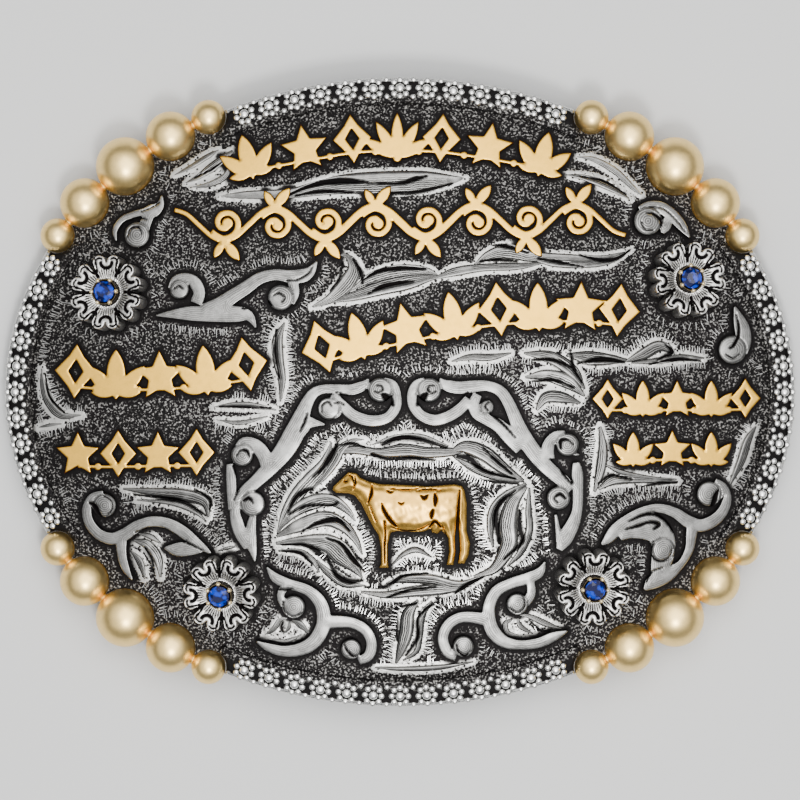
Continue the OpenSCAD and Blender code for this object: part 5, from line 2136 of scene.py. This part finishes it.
@dataclass
class Studio:
    """A pale floor, soft lamps and a camera that looks straight down on the face.

    A lamp has a name, a place and a size in metres, and a power in watts.
    """

    lamps: tuple[tuple[str, Row, Row, float], ...] = (
        ("overhead", (0.0, 0.05, 0.8), (2.6, 2.0), 17.0),
        ("inner", (0.08, 0.12, 0.78), (0.8, 0.7), 6.2),
        ("spark", (0.04, -0.3, 0.76), (0.16, 0.16), 4.5))
    air_colour: Colour = (0.85, 0.9, 1.0)
    air_strength: float = 0.2
    floor_size: float = 6.0
    centre: tuple[float, float] = (0.0, -1.16)
    view_width: float = 116.0
    rim_z: float = 5.0
    distance: float = 900.0

    def floor(self) -> None:
        """Makes the pale floor that the buckle lies on."""
        deselect()
        bpy.ops.mesh.primitive_plane_add(size=self.floor_size, location=(0, 0, 0))
        floor = bpy.context.object
        floor.name = "floor"
        nodes = new_material("pale_floor")
        place = nodes.place()
        cloud = nodes.add("TexNoise", None, Vector=place, Scale=9.0, Detail=3.0).outputs["Fac"]
        colour = nodes.mix(cloud, (0.56, 0.56, 0.55, 1.0), (0.62, 0.62, 0.61, 1.0))
        shader = nodes.add("BsdfPrincipled", None, Base_Color=colour, Roughness=0.7)
        floor.data.materials.append(close_material(nodes, shader))

    def lamp(self, name: str, place: Row, size: Row, power: float) -> None:
        """Hangs a rectangular soft lamp that points at the buckle.

        Args:
            name: The lamp's name.
            place: Where it hangs, in metres.
            size: How long and wide it is, in metres.
            power: Its power, in watts.
        """
        light = bpy.data.lights.new(name, "AREA")
        light.shape = "RECTANGLE"
        light.size, light.size_y = size
        light.energy = power
        lamp = new_object(name, light)
        lamp.location = place
        lamp.rotation_euler = (-Vector(place)).to_track_quat("-Z", "Y").to_euler()

    def camera(self) -> None:
        """Sets the camera over the buckle, as the photograph has it."""
        data = bpy.data.cameras.new("camera")
        data.angle = 2 * math.atan(self.view_width / 2 / self.distance)
        data.clip_start = 0.01
        camera = new_object("camera", data)
        camera.location = (self.centre[0] * MM, self.centre[1] * MM,
                           (self.rim_z + self.distance) * MM)
        bpy.context.scene.camera = camera

    def build(self) -> None:
        """Makes the whole studio."""
        self.floor()
        for name, place, size, power in self.lamps:
            self.lamp(name, place, size, power)
        world = bpy.data.worlds.new("studio_air")
        world.use_nodes = True
        air = world.node_tree.nodes["Background"].inputs
        air["Color"].default_value = (*self.air_colour, 1.0)
        air["Strength"].default_value = self.air_strength
        bpy.context.scene.world = world
        self.camera()


SCROLLS = ("frame_left", "frame_right", "foot_left", "foot_right", "corner_left", "corner_right",
           "shoulder_left", "curl_upper_left", "curl_upper_right", "curl_right")
BRONZE_ROWS = ("crest_row", "vine_row", "banner_row_left", "banner_row_right", "left_row",
               "right_row_upper", "right_row_lower")
FLOWERS = (("top_left", -41.6, 14.1, 90.0), ("top_right", 41.0, 16.0, 5.0),
           ("bottom_left", -25.4, -28.7, 62.0), ("bottom_right", 27.4, -27.8, 88.0))
ENGRAVINGS = (CREST, VINE_LEAVES, SIDES, PANEL, FEET)
LONG_END = 66.2
SIDE_END = 24.6
TRIMS = (("top", 0.0, LONG_END, 180 - LONG_END, 13),
         ("bottom", 180.0, LONG_END, 180 - LONG_END, 13),
         ("left", 180.0, -SIDE_END, SIDE_END, 11), ("right", 0.0, -SIDE_END, SIDE_END, 11))


def merged(*nodes: str) -> Outline:
    """Gathers the outlines of several nodes into one."""
    return Outline([loop for node in nodes for loop in Outline.of_node(node).loops])


def build_ground(finishes: Finishes) -> None:
    """Builds the plate, its engraved leaves and the short cuts round what is raised.

    Args:
        finishes: The finishes.
    """
    flowers = ["flower_" + corner for corner in CORNERS]
    scrolls = ["scroll_" + name for name in SCROLLS]
    bright = [n for n in scrolls if "frame" in n or "foot" in n] + ["cow"]
    beads = bead_circles()
    raised = merged(*scrolls, "cow", *flowers, *BRONZE_ROWS)
    trims = merged(*("trim_" + side for side, *_ in TRIMS))
    solid = Outline(raised.loops + trims.loops + beads.loops)
    plate = Outline.of_node("base_plate")
    Plate(finishes, ENGRAVINGS, raised).build()
    for engraving in ENGRAVINGS:
        place_part(engraving.build(), "antiqued_silver", finishes.leaves)
    Fringe("fringe_cuts", finishes, merged(*bright), solid, plate, ENGRAVINGS,
           [e for e in ENGRAVINGS if e.fringed], width=0.2, tone=0.6).build()
    plain = [n for n in scrolls if n not in bright]
    dim = merged(*plain, *flowers, "trim_left", "trim_right")
    Fringe("edge_cuts", finishes, Outline(dim.loops + beads.loops), solid, plate, ENGRAVINGS, [],
           gap=0.75, length=1.5, step=0.4, width=0.2, height=0.12, tone=0.5).build()


def main() -> None:
    """Builds the buckle and its studio."""
    logging.basicConfig(level=logging.INFO, format="%(message)s")
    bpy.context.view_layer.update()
    finishes = Finishes.make()
    build_ground(finishes)
    for name in SCROLLS:
        Scroll("scroll_" + name, "scroll_silver", finishes.scrolls, thickness=1.1, edge=0.22,
               crown=0.06).build()
    for node in BRONZE_ROWS:
        Overlay(node, "ornament_bronze", finishes.ornaments, thickness=0.9, edge=0.25).build()
    Cow("cow", "cow_bronze", finishes.cow, thickness=1.5, edge=0.4).build()
    for corner, x, y, turn in FLOWERS:
        Flower(corner, x, y, turn, finishes).build()
    for side, middle, first, last, count in TRIMS:
        Trim(side, middle, first, last, count, finishes).build()
    for corner in CORNERS:
        Beads(corner, finishes).build()
    Findings(finishes).build()
    Studio().build()


if __name__ == "__main__":
    main()
